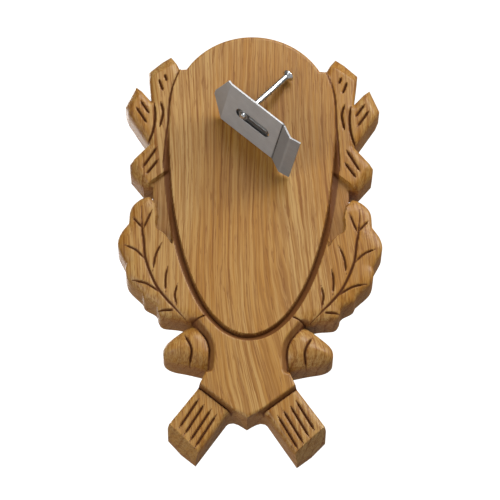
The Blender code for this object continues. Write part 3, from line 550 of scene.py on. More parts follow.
def ring_faces(rows, columns, closed_rows=False):
    """Quads of a grid whose columns close into a ring, and its rows too where closed_rows is set."""
    index = np.arange(rows * columns).reshape(rows, columns)
    here = index if closed_rows else index[:-1]
    above = np.roll(index, -1, axis=0) if closed_rows else index[1:]
    quads = (here, np.roll(here, -1, axis=1), np.roll(above, -1, axis=1), above)
    return np.stack(quads, axis=-1).reshape(-1, 4)


# Corners 0 to 3 of a cell and the crossings 4 to 7 of its sides, for each set of corners inside:
# the faces of the cell's kept part, and the cut sides
CELL_PARTS = {
    1: (((0, 4, 7),), ((4, 7),)),
    2: (((1, 5, 4),), ((5, 4),)),
    3: (((0, 1, 5, 7),), ((5, 7),)),
    4: (((2, 6, 5),), ((6, 5),)),
    5: (((0, 4, 7), (2, 6, 5)), ((4, 7), (6, 5))),
    6: (((1, 2, 6, 4),), ((6, 4),)),
    7: (((0, 1, 2, 6, 7),), ((6, 7),)),
    8: (((3, 7, 6),), ((7, 6),)),
    9: (((0, 4, 6, 3),), ((4, 6),)),
    10: (((1, 5, 4), (3, 7, 6)), ((5, 4), (7, 6))),
    11: (((0, 1, 5, 6, 3),), ((5, 6),)),
    12: (((2, 3, 7, 5),), ((7, 5),)),
    13: (((0, 4, 5, 2, 3),), ((4, 5),)),
    14: (((1, 2, 3, 7, 4),), ((7, 4),)),
    15: (((0, 1, 2, 3),), ()),
}


def cut_grid(x, z, room):
    """Sheet of grid cells trimmed along the line where room is nothing: corner coordinates on a grid and
    their room, positive inside. Each cell's kept part follows from which of its corners are inside, and
    a side is cut where room falls to nothing between its ends. Returns points, faces and cut sides."""
    columns, rows = x.shape
    count = x.size
    index = np.arange(count).reshape(x.shape)
    points = np.column_stack((x.ravel(), z.ravel()))
    level = room.ravel()

    def crossing(first, second):
        """Where room is nothing between two corners: it is taken to change evenly along the side."""
        a, b = level[first.ravel()], level[second.ravel()]
        share = np.where((a > 0) != (b > 0), a / np.where(a == b, 1.0, a - b), 0.5)
        return points[first.ravel()] + (points[second.ravel()] - points[first.ravel()]) * share[:, None]

    across_count = (columns - 1) * rows
    across = np.full(x.shape, -1)
    across[:-1] = count + np.arange(across_count).reshape(columns - 1, rows)
    upward = np.full(x.shape, -1)
    upward[:, :-1] = count + across_count + np.arange(columns * (rows - 1)).reshape(columns, rows - 1)
    everything = np.vstack((points, crossing(index[:-1], index[1:]), crossing(index[:, :-1], index[:, 1:])))

    corners = (index[:-1, :-1], index[1:, :-1], index[1:, 1:], index[:-1, 1:])
    sides = (across[:-1, :-1], upward[1:, :-1], across[:-1, 1:], upward[:-1, :-1])
    table = np.stack([part.ravel() for part in corners + sides], axis=-1)
    kept = sum((level[table[:, bit]] > 0).astype(int) << bit for bit in range(4))
    faces, cuts = [], []
    for case, (parts, borders) in CELL_PARTS.items():
        cells = table[kept == case]
        for part in parts:
            faces.extend(cells[:, part].tolist())
        for border in borders:
            cuts.append(cells[:, border])
    cuts = np.vstack(cuts)
    used = np.unique(np.fromiter((i for face in faces for i in face), int))
    renamed = np.full(len(everything), -1)
    renamed[used] = np.arange(len(used))
    lookup = renamed.tolist()
    faces = [[lookup[i] for i in face] for face in faces]
    return everything[used], faces, renamed[cuts]


def loops_of(pairs):
    """Closed loops of vertex numbers from directed pairs, each number the start of one pair."""
    following = dict(pairs.tolist())
    loops = []
    while following:
        first = next(iter(following))
        loop = [first]
        step = following.pop(first)
        while step != first:
            loop.append(step)
            step = following.pop(step)
        loops.append(loop)
    return loops


def keyhole_line(entry_radius, slot_radius, rise):
    """Outline of a round entry with a round-ended slot above it, centred on the entry."""
    join = math.asin(min(1.0, slot_radius / entry_radius))
    turn = 0.5 * math.pi + join + np.linspace(0.0, 2.0 * math.pi - 2.0 * join, 40)
    top = np.linspace(0.0, math.pi, 20)
    entry = np.column_stack((entry_radius * np.cos(turn), entry_radius * np.sin(turn)))
    slot = np.column_stack((slot_radius * np.cos(top), rise + slot_radius * np.sin(top)))
    if slot_radius == entry_radius:
        entry = entry[:-1]
        slot = slot[:-1]
    return np.vstack((entry, slot))


def flat_cover(loops, keep):
    """Triangles that fill flat loops of points, kept where keep says so of a triangle's middle."""
    points = np.vstack(loops)
    edges = []
    first = 0
    for loop in loops:
        index = np.arange(first, first + len(loop))
        edges += np.column_stack((index, np.roll(index, -1))).tolist()
        first += len(loop)
    corners = [Vector(point) for point in points.tolist()]
    found, _, faces, _, _, _ = delaunay_2d_cdt(corners, edges, [], 0, 1e-5)
    found = np.array([tuple(point) for point in found])
    gaps = np.abs(found[:, None, 0] - points[None, :, 0]) + np.abs(found[:, None, 1] - points[None, :, 1])
    source = np.argmin(gaps, axis=1)
    faces = np.array(faces)
    middle = points[source[faces]].mean(axis=1)
    return source[faces[keep(middle[:, 0], middle[:, 1])]]


def snap_to_bends(x, z, lines, step):
    """Moves grid points that lie near a bend onto their nearest place on it, so that bends stay crisp.
    Points on the centre line stay there, and a point that an earlier line has moved stays on that line."""
    side = np.where(x < 0, -1.0, 1.0)
    right = np.abs(x)
    free = right > 0.5 * step
    for line in lines:
        low, high = line.min(axis=0) - step, line.max(axis=0) + step
        near = free & (right > low[0]) & (right < high[0]) & (z > low[1]) & (z < high[1])
        distance, _, foot_x, foot_z = line_place(right[near], z[near], line)
        close = distance < SNAP_REACH * step
        moved = near.copy()
        moved[near] = close
        right[moved] = foot_x[close]
        z[moved] = foot_z[close]
        free &= ~moved
    return side * right, z


def near_hole(places, bore):
    """True for places of the drawing that are less than two radii from the screw hole's middle."""
    return np.hypot(places[:, 0], places[:, 1] - SCREW_HOLE_HEIGHT) < 2.0 * bore


def trimmed_face(relief, outline, bore, step):
    """The drawing as a grid, trimmed along the outline and the screw hole. Its outer rim is moved onto the
    outline, and the nearest point onto each corner. Returns points, faces and cut sides."""
    half_count = math.ceil(0.5 * DRAWING_WIDTH / step) + 1
    across = np.arange(-half_count, half_count + 1) * step
    up = np.arange(-1, math.ceil(DRAWING_HEIGHT / step) + 2) * step
    x, z = np.meshgrid(across, up, indexing="ij")
    x, z = snap_to_bends(x, z, relief.bends(), step)
    off_hole = np.hypot(x, z - SCREW_HOLE_HEIGHT) - bore
    points, faces, cuts = cut_grid(x, z, np.minimum(depth_inside(x, z, outline), off_hole))
    rim = np.unique(cuts)
    edge = rim[~near_hole(points[rim], bore)]
    closed = np.vstack((outline, outline[:1]))
    _, _, points[edge, 0], points[edge, 1] = line_place(points[edge, 0], points[edge, 1], closed)
    for corner in corners_of(outline):
        points[edge[np.argmin(np.hypot(*(points[edge] - corner).T))]] = corner
    return points, faces, cuts


class BoardMesh:
    """The board's mesh as it grows: vertices with their stain and painted shade, and faces with their
    material slot. Places are given on the drawing and stretched to the board's own box."""

    def __init__(self, outline):
        spread = np.ptp(outline, axis=0)
        self.scale = np.array((BOARD_HIGH[0] - BOARD_LOW[0], BOARD_HIGH[2] - BOARD_LOW[2])) / spread
        self.vertices, self.stains, self.faces, self.slots = [], [], [], []
        self.count = 0

    def add_places(self, flat, y, stain):
        """Adds a vertex for each place, y metres from the flat back, and returns their numbers."""
        x, z = flat[:, 0] * self.scale[0], (flat[:, 1] - 0.5 * DRAWING_HEIGHT) * self.scale[1]
        self.vertices.append(np.column_stack((x, np.broadcast_to(y, len(flat)), z)))
        self.stains.append(np.broadcast_to(stain, len(flat)))
        self.count += len(flat)
        return np.arange(self.count - len(flat), self.count)

    def add_faces(self, faces, slot):
        """Adds faces, given as lists of vertex numbers, that all have one material."""
        self.faces += faces
        self.slots += [slot] * len(faces)

    def add_wall(self, loop, rings):
        """Joins a loop of vertices by quads to the first ring of places, y and stain-and-shade value, and
        each ring to the next. Returns the vertex numbers of the last ring."""
        for flat, y, stain in rings:
            following = self.add_places(flat, y, stain)
            quads = np.column_stack((loop, np.roll(loop, -1), np.roll(following, -1), following))
            self.add_faces(quads.tolist(), SIDE)
            loop = following
        return loop


def carve_board(settings, materials):
    """The board: its face is depth(x, z) on a grid trimmed along the outline and the screw hole, its walls
    run straight back from the trimmed edge, and its flat back has the hanging slot and the countersink."""
    relief = Relief(settings)
    outline = mirrored(relief.half)
    bore, sink = 0.5 * (settings.screw_hole / MM), 0.5 * settings.screw_sink / MM
    hole_at, hang_at = np.array((0.0, SCREW_HOLE_HEIGHT)), np.array((0.0, HANG_HEIGHT))
    points, faces, cuts = trimmed_face(relief, outline, bore, settings.grid_step / MM)
    depth, stain = relief.face(points[:, 0], points[:, 1])
    front = depth * MM - settings.board_thick

    board = BoardMesh(outline)
    board.add_places(points, front, stain)
    board.add_faces(faces, FACE)
    back_loops = []
    for loop in loops_of(cuts):
        loop = np.array(loop)
        flat = points[loop]
        rings = [(flat, share * front[loop], 0.0) for share in WALL_ROWS]
        if near_hole(flat, bore).all():
            wide = hole_at + (flat - hole_at) * sink / bore
            # Painted shade on the bore's wall, fading towards the countersink's rim
            rings = [(flat, (bore - sink) * MM, BORE_SHADE), (wide, 0.0, 0.0)]
        back_loops.append((rings[-1][0], board.add_wall(loop, rings)))

    entry = keyhole_line(0.5 * settings.hang_entry / MM, 0.5 * settings.hang_slot / MM, HANG_SLOT_RISE)
    wide = 0.5 * settings.hang_entry / MM + HANG_UNDERCUT
    shares = np.arange(len(entry)) / len(entry)
    under = resample(keyhole_line(wide, wide, HANG_SLOT_RISE), shares, entry[0]) + hang_at
    entry = entry + hang_at
    mouth = board.add_places(entry, 0.0, 0.0)
    back_loops.append((entry, mouth))
    # Painted shade on the hanging slot's lip and in its pocket
    pocket = board.add_wall(mouth, ((entry, -HANG_LIP * MM, HANG_LIP_SHADE),
                                    (under, -HANG_LIP * MM, BORE_SHADE),
                                    (under, -HANG_DEPTH * MM, BORE_SHADE)))
    board.add_faces([pocket.tolist()], SIDE)

    area = max((flat for flat, _ in back_loops), key=len)

    def on_back(x, z):
        """True inside the outline and outside the countersink and the hanging slot."""
        clear = np.hypot(x - hole_at[0], z - hole_at[1]) > sink - 0.05
        return inside(x, z, area) & clear & ~inside(x, z, entry)

    numbers = np.concatenate([number for _, number in back_loops])
    cover = numbers[flat_cover([flat for flat, _ in back_loops], on_back)]
    board.add_faces(cover.tolist(), BACK)
    return new_piece("board", np.vstack(board.vertices), board.faces, materials, board.slots,
                     {"stain": np.concatenate(board.stains)})


def corners_of(outline):
    """Points of a loop at which it turns sharply."""
    before = outline - np.roll(outline, 1, axis=0)
    after = np.roll(before, -1, axis=0)
    cross = before[:, 0] * after[:, 1] - before[:, 1] * after[:, 0]
    turn = np.arctan2(cross, np.sum(before * after, axis=1))
    return outline[np.abs(turn) > math.radians(CORNER_TURN)]


def resample(loop, shares, near):
    """Points of a closed loop at the given shares of its length, counted from its point nearest to near."""
    start = np.argmin(np.hypot(*(loop - near).T))
    loop = np.roll(loop, -start, axis=0)
    closed = np.vstack((loop, loop[:1]))
    length = np.concatenate(([0.0], np.cumsum(np.linalg.norm(np.diff(closed, axis=0), axis=1))))
    return np.column_stack([np.interp(shares * length[-1], length, closed[:, i]) for i in range(2)])


# Clamp, screw and nut, in the clamp's own frame: X along the plate, Z across it and Y through it


def clamp_frame(settings):
    """Matrix that stands the clamp on the board: turned by its heading, and leaning so that its lower edge
    and the screw's head both rest on the face."""
    thick = settings.sheet_thick
    plane = settings.screw_length - SCREW_TIP_OUT * MM - thick
    lean = math.atan2(SCREW_UP * MM - 0.5 * settings.head_diameter, plane)
    heading = settings.heading
    along = Vector((math.cos(heading), 0.0, -math.sin(heading)))
    level = Vector((math.sin(heading), 0.0, math.cos(heading)))
    into = Vector((0.0, 1.0, 0.0))
    through = math.cos(lean) * level + math.sin(lean) * into
    up = math.sin(lean) * level - math.cos(lean) * into
    place = Matrix((along, through, up)).transposed().to_4x4()
    lift = -BOARD_LOW[1] + REST_GAP * MM + thick * math.sin(lean)
    place.translation = Vector((settings.clamp_x, -lift, settings.clamp_z))
    return place


def placed(points, frame_matrix):
    """Points carried from the clamp's frame into the board's."""
    turn = np.array(frame_matrix.to_3x3())
    return points @ turn.T + np.array(frame_matrix.translation)


def strip_path(along, settings):
    """Middle line of the bent strip at a distance along the flat sheet, and its direction there.

    The direction changes evenly over each rounded bend, and the place is the running sum of its cosine and
    sine."""
    point = math.radians(POINT_BEND)
    flange = math.atan2(-FLANGE_RISE, FLANGE_REACH)
    lip = math.atan2(LIP_DROP, LIP_REACH)
    plate = settings.plate_length / MM
    flange_end = plate + FLANGE_LENGTH
    radius = settings.bend_length / MM
    bends = ((0.0, -point, 0.0), (plate, 0.0, flange), (flange_end, flange, lip))
    fine = np.linspace(-POINT_LENGTH - 1.0, flange_end + LIP_LENGTH + 1.0, 2400)
    angle = np.full(fine.shape, -point)
    for at, before, after in bends:
        share = np.clip((fine - at) / radius + 0.5, 0.0, 1.0)
        angle = angle + (after - before) * share * share * (3.0 - 2.0 * share)
    gap = fine[1] - fine[0]
    x = np.cumsum(np.cos(angle)) * gap
    y = np.cumsum(np.sin(angle)) * gap
    x -= np.interp(0.5 * plate, fine, x) - 0.5 * plate
    y -= np.interp(0.5 * plate, fine, y)
    return np.interp(along, fine, x), np.interp(along, fine, y), np.interp(along, fine, angle)


def dense_line(points, step):
    """A closed line of straight sides divided about every step, its corners kept."""
    points = np.array(points, float)
    ends = np.roll(points, -1, axis=0)
    parts = []
    for start, end in zip(points, ends):
        count = max(1, math.ceil(np.linalg.norm(end - start) / step))
        parts.append(start + (end - start) * (np.arange(count) / count)[:, None])
    return np.vstack(parts)


def matched_loops(outer, inner):
    """The inner loop resampled so that its points lie at the same shares of its length as the outer's."""
    closed = np.vstack((outer, outer[:1]))
    length = np.concatenate(([0.0], np.cumsum(np.linalg.norm(np.diff(closed, axis=0), axis=1))))
    return resample(inner, length[:-1] / length[-1], outer[0])


def stacked(layers):
    """Flat places and depths of layers given as (loop, depth), each as one array with a row for a layer."""
    flat = np.array([loop for loop, _ in layers])
    depth = np.array([np.full(len(loop), value) for loop, value in layers])
    return flat, depth


def sheet_shell(outer, inner, thick, rows):
    """Closed shell of a flat sheet with a hole: a grid of shares between the hole's loop and the outer
    loop over the front and the back, joined round both rims by quarter circles."""
    angles = np.linspace(0.0, 0.5 * math.pi, 4)[1:]
    to_hole, from_hole = -outward_normals(outer), outward_normals(inner)

    def rim(loop, inward):
        """Places and depths round a rim: a quarter circle from the front, and the same from the back."""
        front = [(loop + inward * SHEET_RIM * (1.0 - math.sin(angle)), SHEET_RIM * (1.0 - math.cos(angle)))
                 for angle in angles]
        return front + [(places, thick - depth) for places, depth in reversed(front)]

    low, high = inner + from_hole * SHEET_RIM, outer + to_hole * SHEET_RIM
    front = [(low + (high - low) * share, 0.0) for share in np.linspace(0.0, 1.0, rows)]
    back = [(places, thick) for places, _ in reversed(front)]
    return stacked(front + rim(outer, to_hole) + back + rim(inner, from_hole)[::-1])


def outward_normals(loop):
    """Unit normals of a loop, pointing away from the area that it encloses."""
    ahead = np.roll(loop, -1, axis=0) - loop
    behind = loop - np.roll(loop, 1, axis=0)
    ahead /= np.linalg.norm(ahead, axis=1)[:, None]
    behind /= np.linalg.norm(behind, axis=1)[:, None]
    area = np.sum(loop[:, 0] * np.roll(loop[:, 1], -1) - np.roll(loop[:, 0], -1) * loop[:, 1])
    turned = np.column_stack((ahead[:, 1] + behind[:, 1], -ahead[:, 0] - behind[:, 0]))
    reach = 0.5 * np.sum(turned * np.column_stack((ahead[:, 1], -ahead[:, 0])), axis=1)
    normal = 0.5 * turned / np.maximum(reach, 0.35)[:, None]
    return normal * math.copysign(1.0, area)


def strip_outline(plate, width):
    """Flat outline of the strip: square at the lip's end, and cut to a blunt point at the other."""
    end = plate + FLANGE_LENGTH + LIP_LENGTH
    tip_low = POINT_TIP_HEIGHT - 0.5 * POINT_TIP_WIDTH
    tip_high = POINT_TIP_HEIGHT + 0.5 * POINT_TIP_WIDTH
    corners = ((end, 0.5 * width), (end, width), (-POINT_SHOULDER, width), (-POINT_LENGTH, tip_high),
               (-POINT_LENGTH, tip_low), (0.0, 0.0), (end, 0.0))
    return dense_line(corners, 0.8)


def slot_outline(radius):
    """Flat outline of the slot: two half circles joined by straight sides."""
    turn = np.linspace(-0.5 * math.pi, 0.5 * math.pi, 24)
    reach, rise = radius * np.cos(turn), radius * np.sin(turn)
    right = np.column_stack((SLOT_START + SLOT_LENGTH - radius + reach, SCREW_UP + rise))
    left = np.column_stack((SLOT_START + radius - reach, SCREW_UP - rise))
    return dense_line(np.vstack((right, left)), 0.5)


def painted_strip_shade(flat, plate, width):
    """Painted shade on the strip: the flange and lip evenly but for a paler band of painted highlight along
    the lip's bend, the point more and more towards its lower edge, a dark line in the flange's bend, and
    the wall of the slot."""
    lip_start = plate + FLANGE_LENGTH
    beyond, point = flat[..., 0] - plate, -flat[..., 0]
    lip_bend_highlight = np.clip(1.0 - np.abs(flat[..., 0] - lip_start) / 1.6, 0.0, 1.0)
    shade = FLANGE_SHADE * np.clip(beyond / 0.6, 0.0, 1.0) - LIP_BEND_LIGHT * lip_bend_highlight
    shade += np.clip(point / 0.5, 0.0, 1.0) * (POINT_SHADE - POINT_LIGHT * flat[..., 1] / width)
    # Dark line of painted shade in the flange's bend
    shade = np.maximum(shade, np.clip(1.6 - np.abs(beyond) / 0.45, 0.0, 1.0))
    # Painted shade on the slot's wall
    shade[-6:-2] = SLOT_SHADE
    return shade


def bend_clamp(settings, material):
    """The clamp: a flat pointed strip with a round-ended slot, given its thickness and rounded rims, and
    bent along the strip's path."""
    plate, width, thick = (value / MM for value in (settings.plate_length, settings.clamp_width,
                                                    settings.sheet_thick))
    outer = strip_outline(plate, width)
    slot = resample(slot_outline(0.5 * slot_width(settings)), np.arange(600) / 600,
                    (SLOT_START + SLOT_LENGTH, SCREW_UP))
    flat, depth = sheet_shell(outer, matched_loops(outer, slot), thick, 46)
    x, y, angle = strip_path(flat[..., 0], settings)
    points = np.stack((x - depth * np.sin(angle), y + depth * np.cos(angle), flat[..., 1]), axis=-1)
    vertices = placed(points.reshape(-1, 3) * MM, clamp_frame(settings))
    faces = ring_faces(*depth.shape, closed_rows=True).tolist()
    shade = painted_strip_shade(flat, plate, width)
    return new_piece("clamp_strip", vertices, faces, [material], values={"shade": shade.ravel()},
                     layout=flat.reshape(-1, 2) * MM, sharp=50.0)


def collar_radius(settings):
    """Outer radius of the nut's collar around the screw, in millimetres."""
    return 0.5 * settings.screw_diameter / MM + FIT_GAP + COLLAR_WALL


def slot_width(settings):
    """Width of the clamp's slot, in which the collar slides, in millimetres."""
    return 2.0 * (collar_radius(settings) + FIT_GAP)


def cross_recess(x, z, radius):
    """Depth of the cross recess as a share of its whole: two crossed bars with sloping walls, shallower
    away from the axis."""
    upright = np.minimum(RECESS_HALF_WIDTH - np.abs(x), RECESS_REACH - np.abs(z))
    level = np.minimum(RECESS_HALF_WIDTH - np.abs(z), RECESS_REACH - np.abs(x))
    room = np.maximum(upright, level)
    return np.clip((room + 0.08) / 0.45, 0.0, 1.0) * np.clip(1.15 - 0.4 * radius, 0.3, 1.0)


def turn_screw(settings, material):
    """The screw: one surface of turns around its axis and places along its profile. Its shank's radius
    rises and falls once a pitch and once a turn, which is the thread, and its flat head dips by the depth
    of the cross recess."""
    sides = 64
    shank = 0.5 * settings.screw_diameter / MM
    head = 0.5 * settings.head_diameter / MM
    top = settings.screw_length / MM - SCREW_TIP_OUT
    tip = -SCREW_TIP_OUT
    pitch = settings.screw_pitch / MM
    cone = top - HEAD_RIM - HEAD_CONE
    thread_end = tip + settings.thread_length / MM
    threaded = [(share * shank, tip) for share in (0.0, 0.5, 0.75)]
    threaded += [(shank, y) for y in np.arange(tip, thread_end, pitch / 6.0)]
    plain = [(shank, thread_end + 0.3), (shank, 0.5 * (thread_end + cone)), (shank, cone - 0.4),
             (shank + 0.08, cone - 0.1), (shank + 0.3, cone + 0.2), (head - 0.15, top - HEAD_RIM - 0.1),
             (head, top - HEAD_RIM + 0.05), (head, top - 0.12), (head - 0.12, top)]
    flat_top = [(radius, top) for radius in np.linspace(head - 0.3, 0.0, 26)]
    profile = np.array(threaded + plain + flat_top)
    rows = len(profile)
    radius, angle = np.meshgrid(profile[:, 0], 2.0 * math.pi * np.arange(sides) / sides, indexing="ij")
    y = np.repeat(profile[:, 1:2], sides, axis=1)
    wave = np.abs(((y / pitch - angle / (2.0 * math.pi)) % 1.0) * 2.0 - 1.0)
    fade = np.clip((y - tip) / 0.8, 0.0, 1.0) * np.clip((thread_end - y) / 0.7, 0.0, 1.0)
    on_thread = (y >= tip) & (y < thread_end) & (radius > 0.9 * shank)
    cut = settings.thread_depth / MM * np.clip(1.25 * wave - 0.1, 0.0, 1.0) * fade
    chamfer = TIP_CHAMFER * np.clip(1.0 - (y - tip) / 0.5, 0.0, 1.0)
    radius = radius - np.where(on_thread, np.maximum(cut, chamfer), 0.0)
    x, z = radius * np.cos(angle), radius * np.sin(angle)
    on_top = (np.arange(rows) >= rows - len(flat_top))[:, None]
    y = np.where(on_top, y - settings.recess_depth / MM * cross_recess(x, z, radius), y)
    points = np.stack((x + SCREW_ALONG, y, z + SCREW_UP), axis=-1).reshape(-1, 3)
    # Crest is 1 on the thread's crests and 0 in its roots; the screw's material paints shade into the roots
    # from it
    crest = np.where(on_thread, 1.0 - np.clip(wave * 1.4, 0.0, 1.0), 0.0).ravel()

    vertices = np.vstack((points[sides:-sides], points[0], points[-1]))
    crest = np.concatenate((crest[sides:-sides], (0.0, 0.0)))
    tip_index, head_index = len(vertices) - 2, len(vertices) - 1
    first = np.arange(sides)
    last = first + (rows - 3) * sides
    faces = ring_faces(rows - 2, sides).tolist()
    faces += np.column_stack((np.full(sides, tip_index), np.roll(first, -1), first)).tolist()
    faces += np.column_stack((last, np.roll(last, -1), np.full(sides, head_index))).tolist()
    return new_piece("long_screw", placed(vertices * MM, clamp_frame(settings)), faces, [material],
                     values={"crest": crest}, sharp=38.0)


def soft_rectangle(left, right, low, high, soft, step):
    """Closed line of a rectangle with quarter circles for corners."""
    arc = np.linspace(0.0, 0.5 * math.pi, 6)
    parts = []
    for cx, cz, start in ((right - soft, high - soft, 0.0), (left + soft, high - soft, 0.5),
                          (left + soft, low + soft, 1.0), (right - soft, low + soft, 1.5)):
        turn = arc + start * math.pi
        parts.append(np.column_stack((cx + soft * np.cos(turn), cz + soft * np.sin(turn))))
    return dense_line(np.vstack(parts), step)


def raised_bar(front):
    """The bar that stiffens the nut beside its collar: the same rounded rectangle at six depths, drawn in
    a little over its upper edge and then closed on its middle line."""
    loop = soft_rectangle(BAR_START, BAR_END, BAR_LOW, BAR_HIGH, BAR_CORNER, 0.5)
    out = outward_normals(loop)
    spine = np.column_stack((np.clip(loop[:, 0], BAR_START + 0.6, BAR_END - 0.6),
                             np.full(len(loop), 0.5 * (BAR_LOW + BAR_HIGH))))
    top = front - BAR_RISE
    return stacked([(spine, front + 0.3), (loop, front + 0.3), (loop, top + BAR_RIM),
                    (loop - out * 0.06, top + 0.06), (loop - out * BAR_RIM, top), (spine, top)])


def press_nut(settings, material):
    """The sliding nut: a ring of sections around its bore. Each runs up the bore, over the collar's rim,
    down the collar and out over the plate to its rounded edge, and back behind it."""
    count = 96
    bore = 0.5 * settings.screw_diameter / MM + FIT_GAP
    collar = collar_radius(settings)
    front = settings.sheet_thick / MM + FIT_GAP
    back = front + NUT_PLATE_THICK
    half = 0.5 * NUT_PLATE_WIDTH
    far = NUT_PLATE_LENGTH - half
    loop = soft_rectangle(-half, far, -half, half, NUT_CORNER, 0.8)
    edge = resample(loop, np.arange(count) / count, (far, 0.0))
    direction = np.arctan2(edge[:, 1], edge[:, 0])
    unit = np.column_stack((np.cos(direction), np.sin(direction)))
    out = outward_normals(edge)
    rim_end = COLLAR_FRONT + COLLAR_RIM
    inner = unit * (collar + COLLAR_RIM)
    span = edge - out * NUT_RIM - inner
    sections = [(unit * bore, back - COLLAR_RIM), (unit * bore, rim_end),
                (unit * (bore + COLLAR_RIM), COLLAR_FRONT), (unit * (collar - COLLAR_RIM), COLLAR_FRONT),
                (unit * collar, rim_end), (unit * collar, front - COLLAR_RIM), (inner, front)]
    collar_rows = len(sections) - 1
    sections += [(inner + span * share, front) for share in (0.33, 0.66, 1.0)]
    sections += [(edge - out * 0.07, front + 0.07), (edge, front + NUT_RIM), (edge, back - NUT_RIM),
                 (edge - out * 0.07, back - 0.07), (edge - out * NUT_RIM, back)]
    sections += [(inner + span * share, back) for share in (0.5, 0.0)]
    sections.append((unit * (bore + COLLAR_RIM), back))
    flat, depth = stacked(sections)
    # Painted shade on the nut behind the sheet: half on the collar, more on the plate, most on the bar's
    # front face; the bar's walls keep the pale nut colour as their lit side
    shade = np.full(depth.shape, COLLAR_SHADE)
    shade[collar_rows:] = NUT_SHADE
    bar, bar_depth = raised_bar(front)
    bar_shade = np.zeros(bar_depth.shape)
    bar_shade[-2:] = SLOT_SHADE
    faces = ring_faces(*depth.shape, closed_rows=True).tolist()
    faces += (ring_faces(*bar_depth.shape) + depth.size).tolist()
    layout = np.vstack((flat.reshape(-1, 2), bar.reshape(-1, 2)))
    depth = np.concatenate((depth.ravel(), bar_depth.ravel()))
    vertices = np.column_stack((layout[:, 0] + SCREW_ALONG, depth, layout[:, 1] + SCREW_UP)) * MM
    return new_piece("nut_plate", placed(vertices, clamp_frame(settings)), faces, [material],
                     values={"shade": np.concatenate((shade.ravel(), bar_shade.ravel()))},
                     layout=layout * MM, sharp=38.0)


# Shader nodes


class Nodes:
    """Short hand for placing nodes and wires in one node tree."""

    def __init__(self, tree):
        self.tree = tree
        self.count = 0

    def add(self, kind, **settings):
        """A node with its properties set; inputs is a dictionary of wires or values for its sockets."""
        node = self.tree.nodes.new(kind)
        node.location = (self.count % 12 * 180 - 1000, -(self.count // 12) * 260)
        self.count += 1
        inputs = settings.pop("inputs", {})
        for key, value in settings.items():
            setattr(node, key, value)
        for key, value in inputs.items():
            if isinstance(value, bpy.types.NodeSocket):
                self.tree.links.new(value, node.inputs[key])
            else:
                node.inputs[key].default_value = value
        return node

    def math(self, operation, first, second=0.0, third=0.0, clamp=False):
        """Result of a calculation; the third value is added after a MULTIPLY_ADD's product."""
        inputs = {0: first, 1: second}
        if operation == "MULTIPLY_ADD":
            inputs[2] = third
        return self.add("ShaderNodeMath", operation=operation, use_clamp=clamp, inputs=inputs).outputs[0]

    def ramp(self, value, low, high, start=0.0, end=1.0):
        """Value carried from the range low to high into start to end, smoothly and held at both."""
        return self.add("ShaderNodeMapRange", interpolation_type="SMOOTHSTEP",
                        inputs={0: value, 1: low, 2: high, 3: start, 4: end}).outputs[0]

    def noise(self, vector, scale, detail=3.0, roughness=0.55):
        """Cloudy value around a half, with this many cells to a unit of the vector."""
        return self.add("ShaderNodeTexNoise", inputs={"Vector": vector, "Scale": scale, "Detail": detail,
                                                      "Roughness": roughness}).outputs[0]

    def stretched(self, vector, scale):
        """Coordinates multiplied by a scale for each axis: the smaller, the longer the pattern on it."""
        return self.add("ShaderNodeMapping", inputs={"Vector": vector, "Scale": scale}).outputs[0]

    def mix(self, share, first, second):
        """Colour between the first, where share is 0, and the second, where it is 1."""
        return self.add("ShaderNodeMix", data_type="RGBA", clamp_factor=True,
                        inputs={0: share, 6: first, 7: second}).outputs[2]


def new_group(name, inputs, outputs):
    """A shader node group with named sockets: (name, type, default) for inputs, (name, type) for outputs."""
    group = bpy.data.node_groups.new(name, "ShaderNodeTree")
    for label, kind, value in inputs:
        socket = group.interface.new_socket(label, in_out="INPUT", socket_type=kind)
        socket.default_value = value
    for label, kind in outputs:
        group.interface.new_socket(label, in_out="OUTPUT", socket_type=kind)
    nodes = Nodes(group)
    return group, nodes, nodes.add("NodeGroupInput").outputs, nodes.add("NodeGroupOutput").inputs


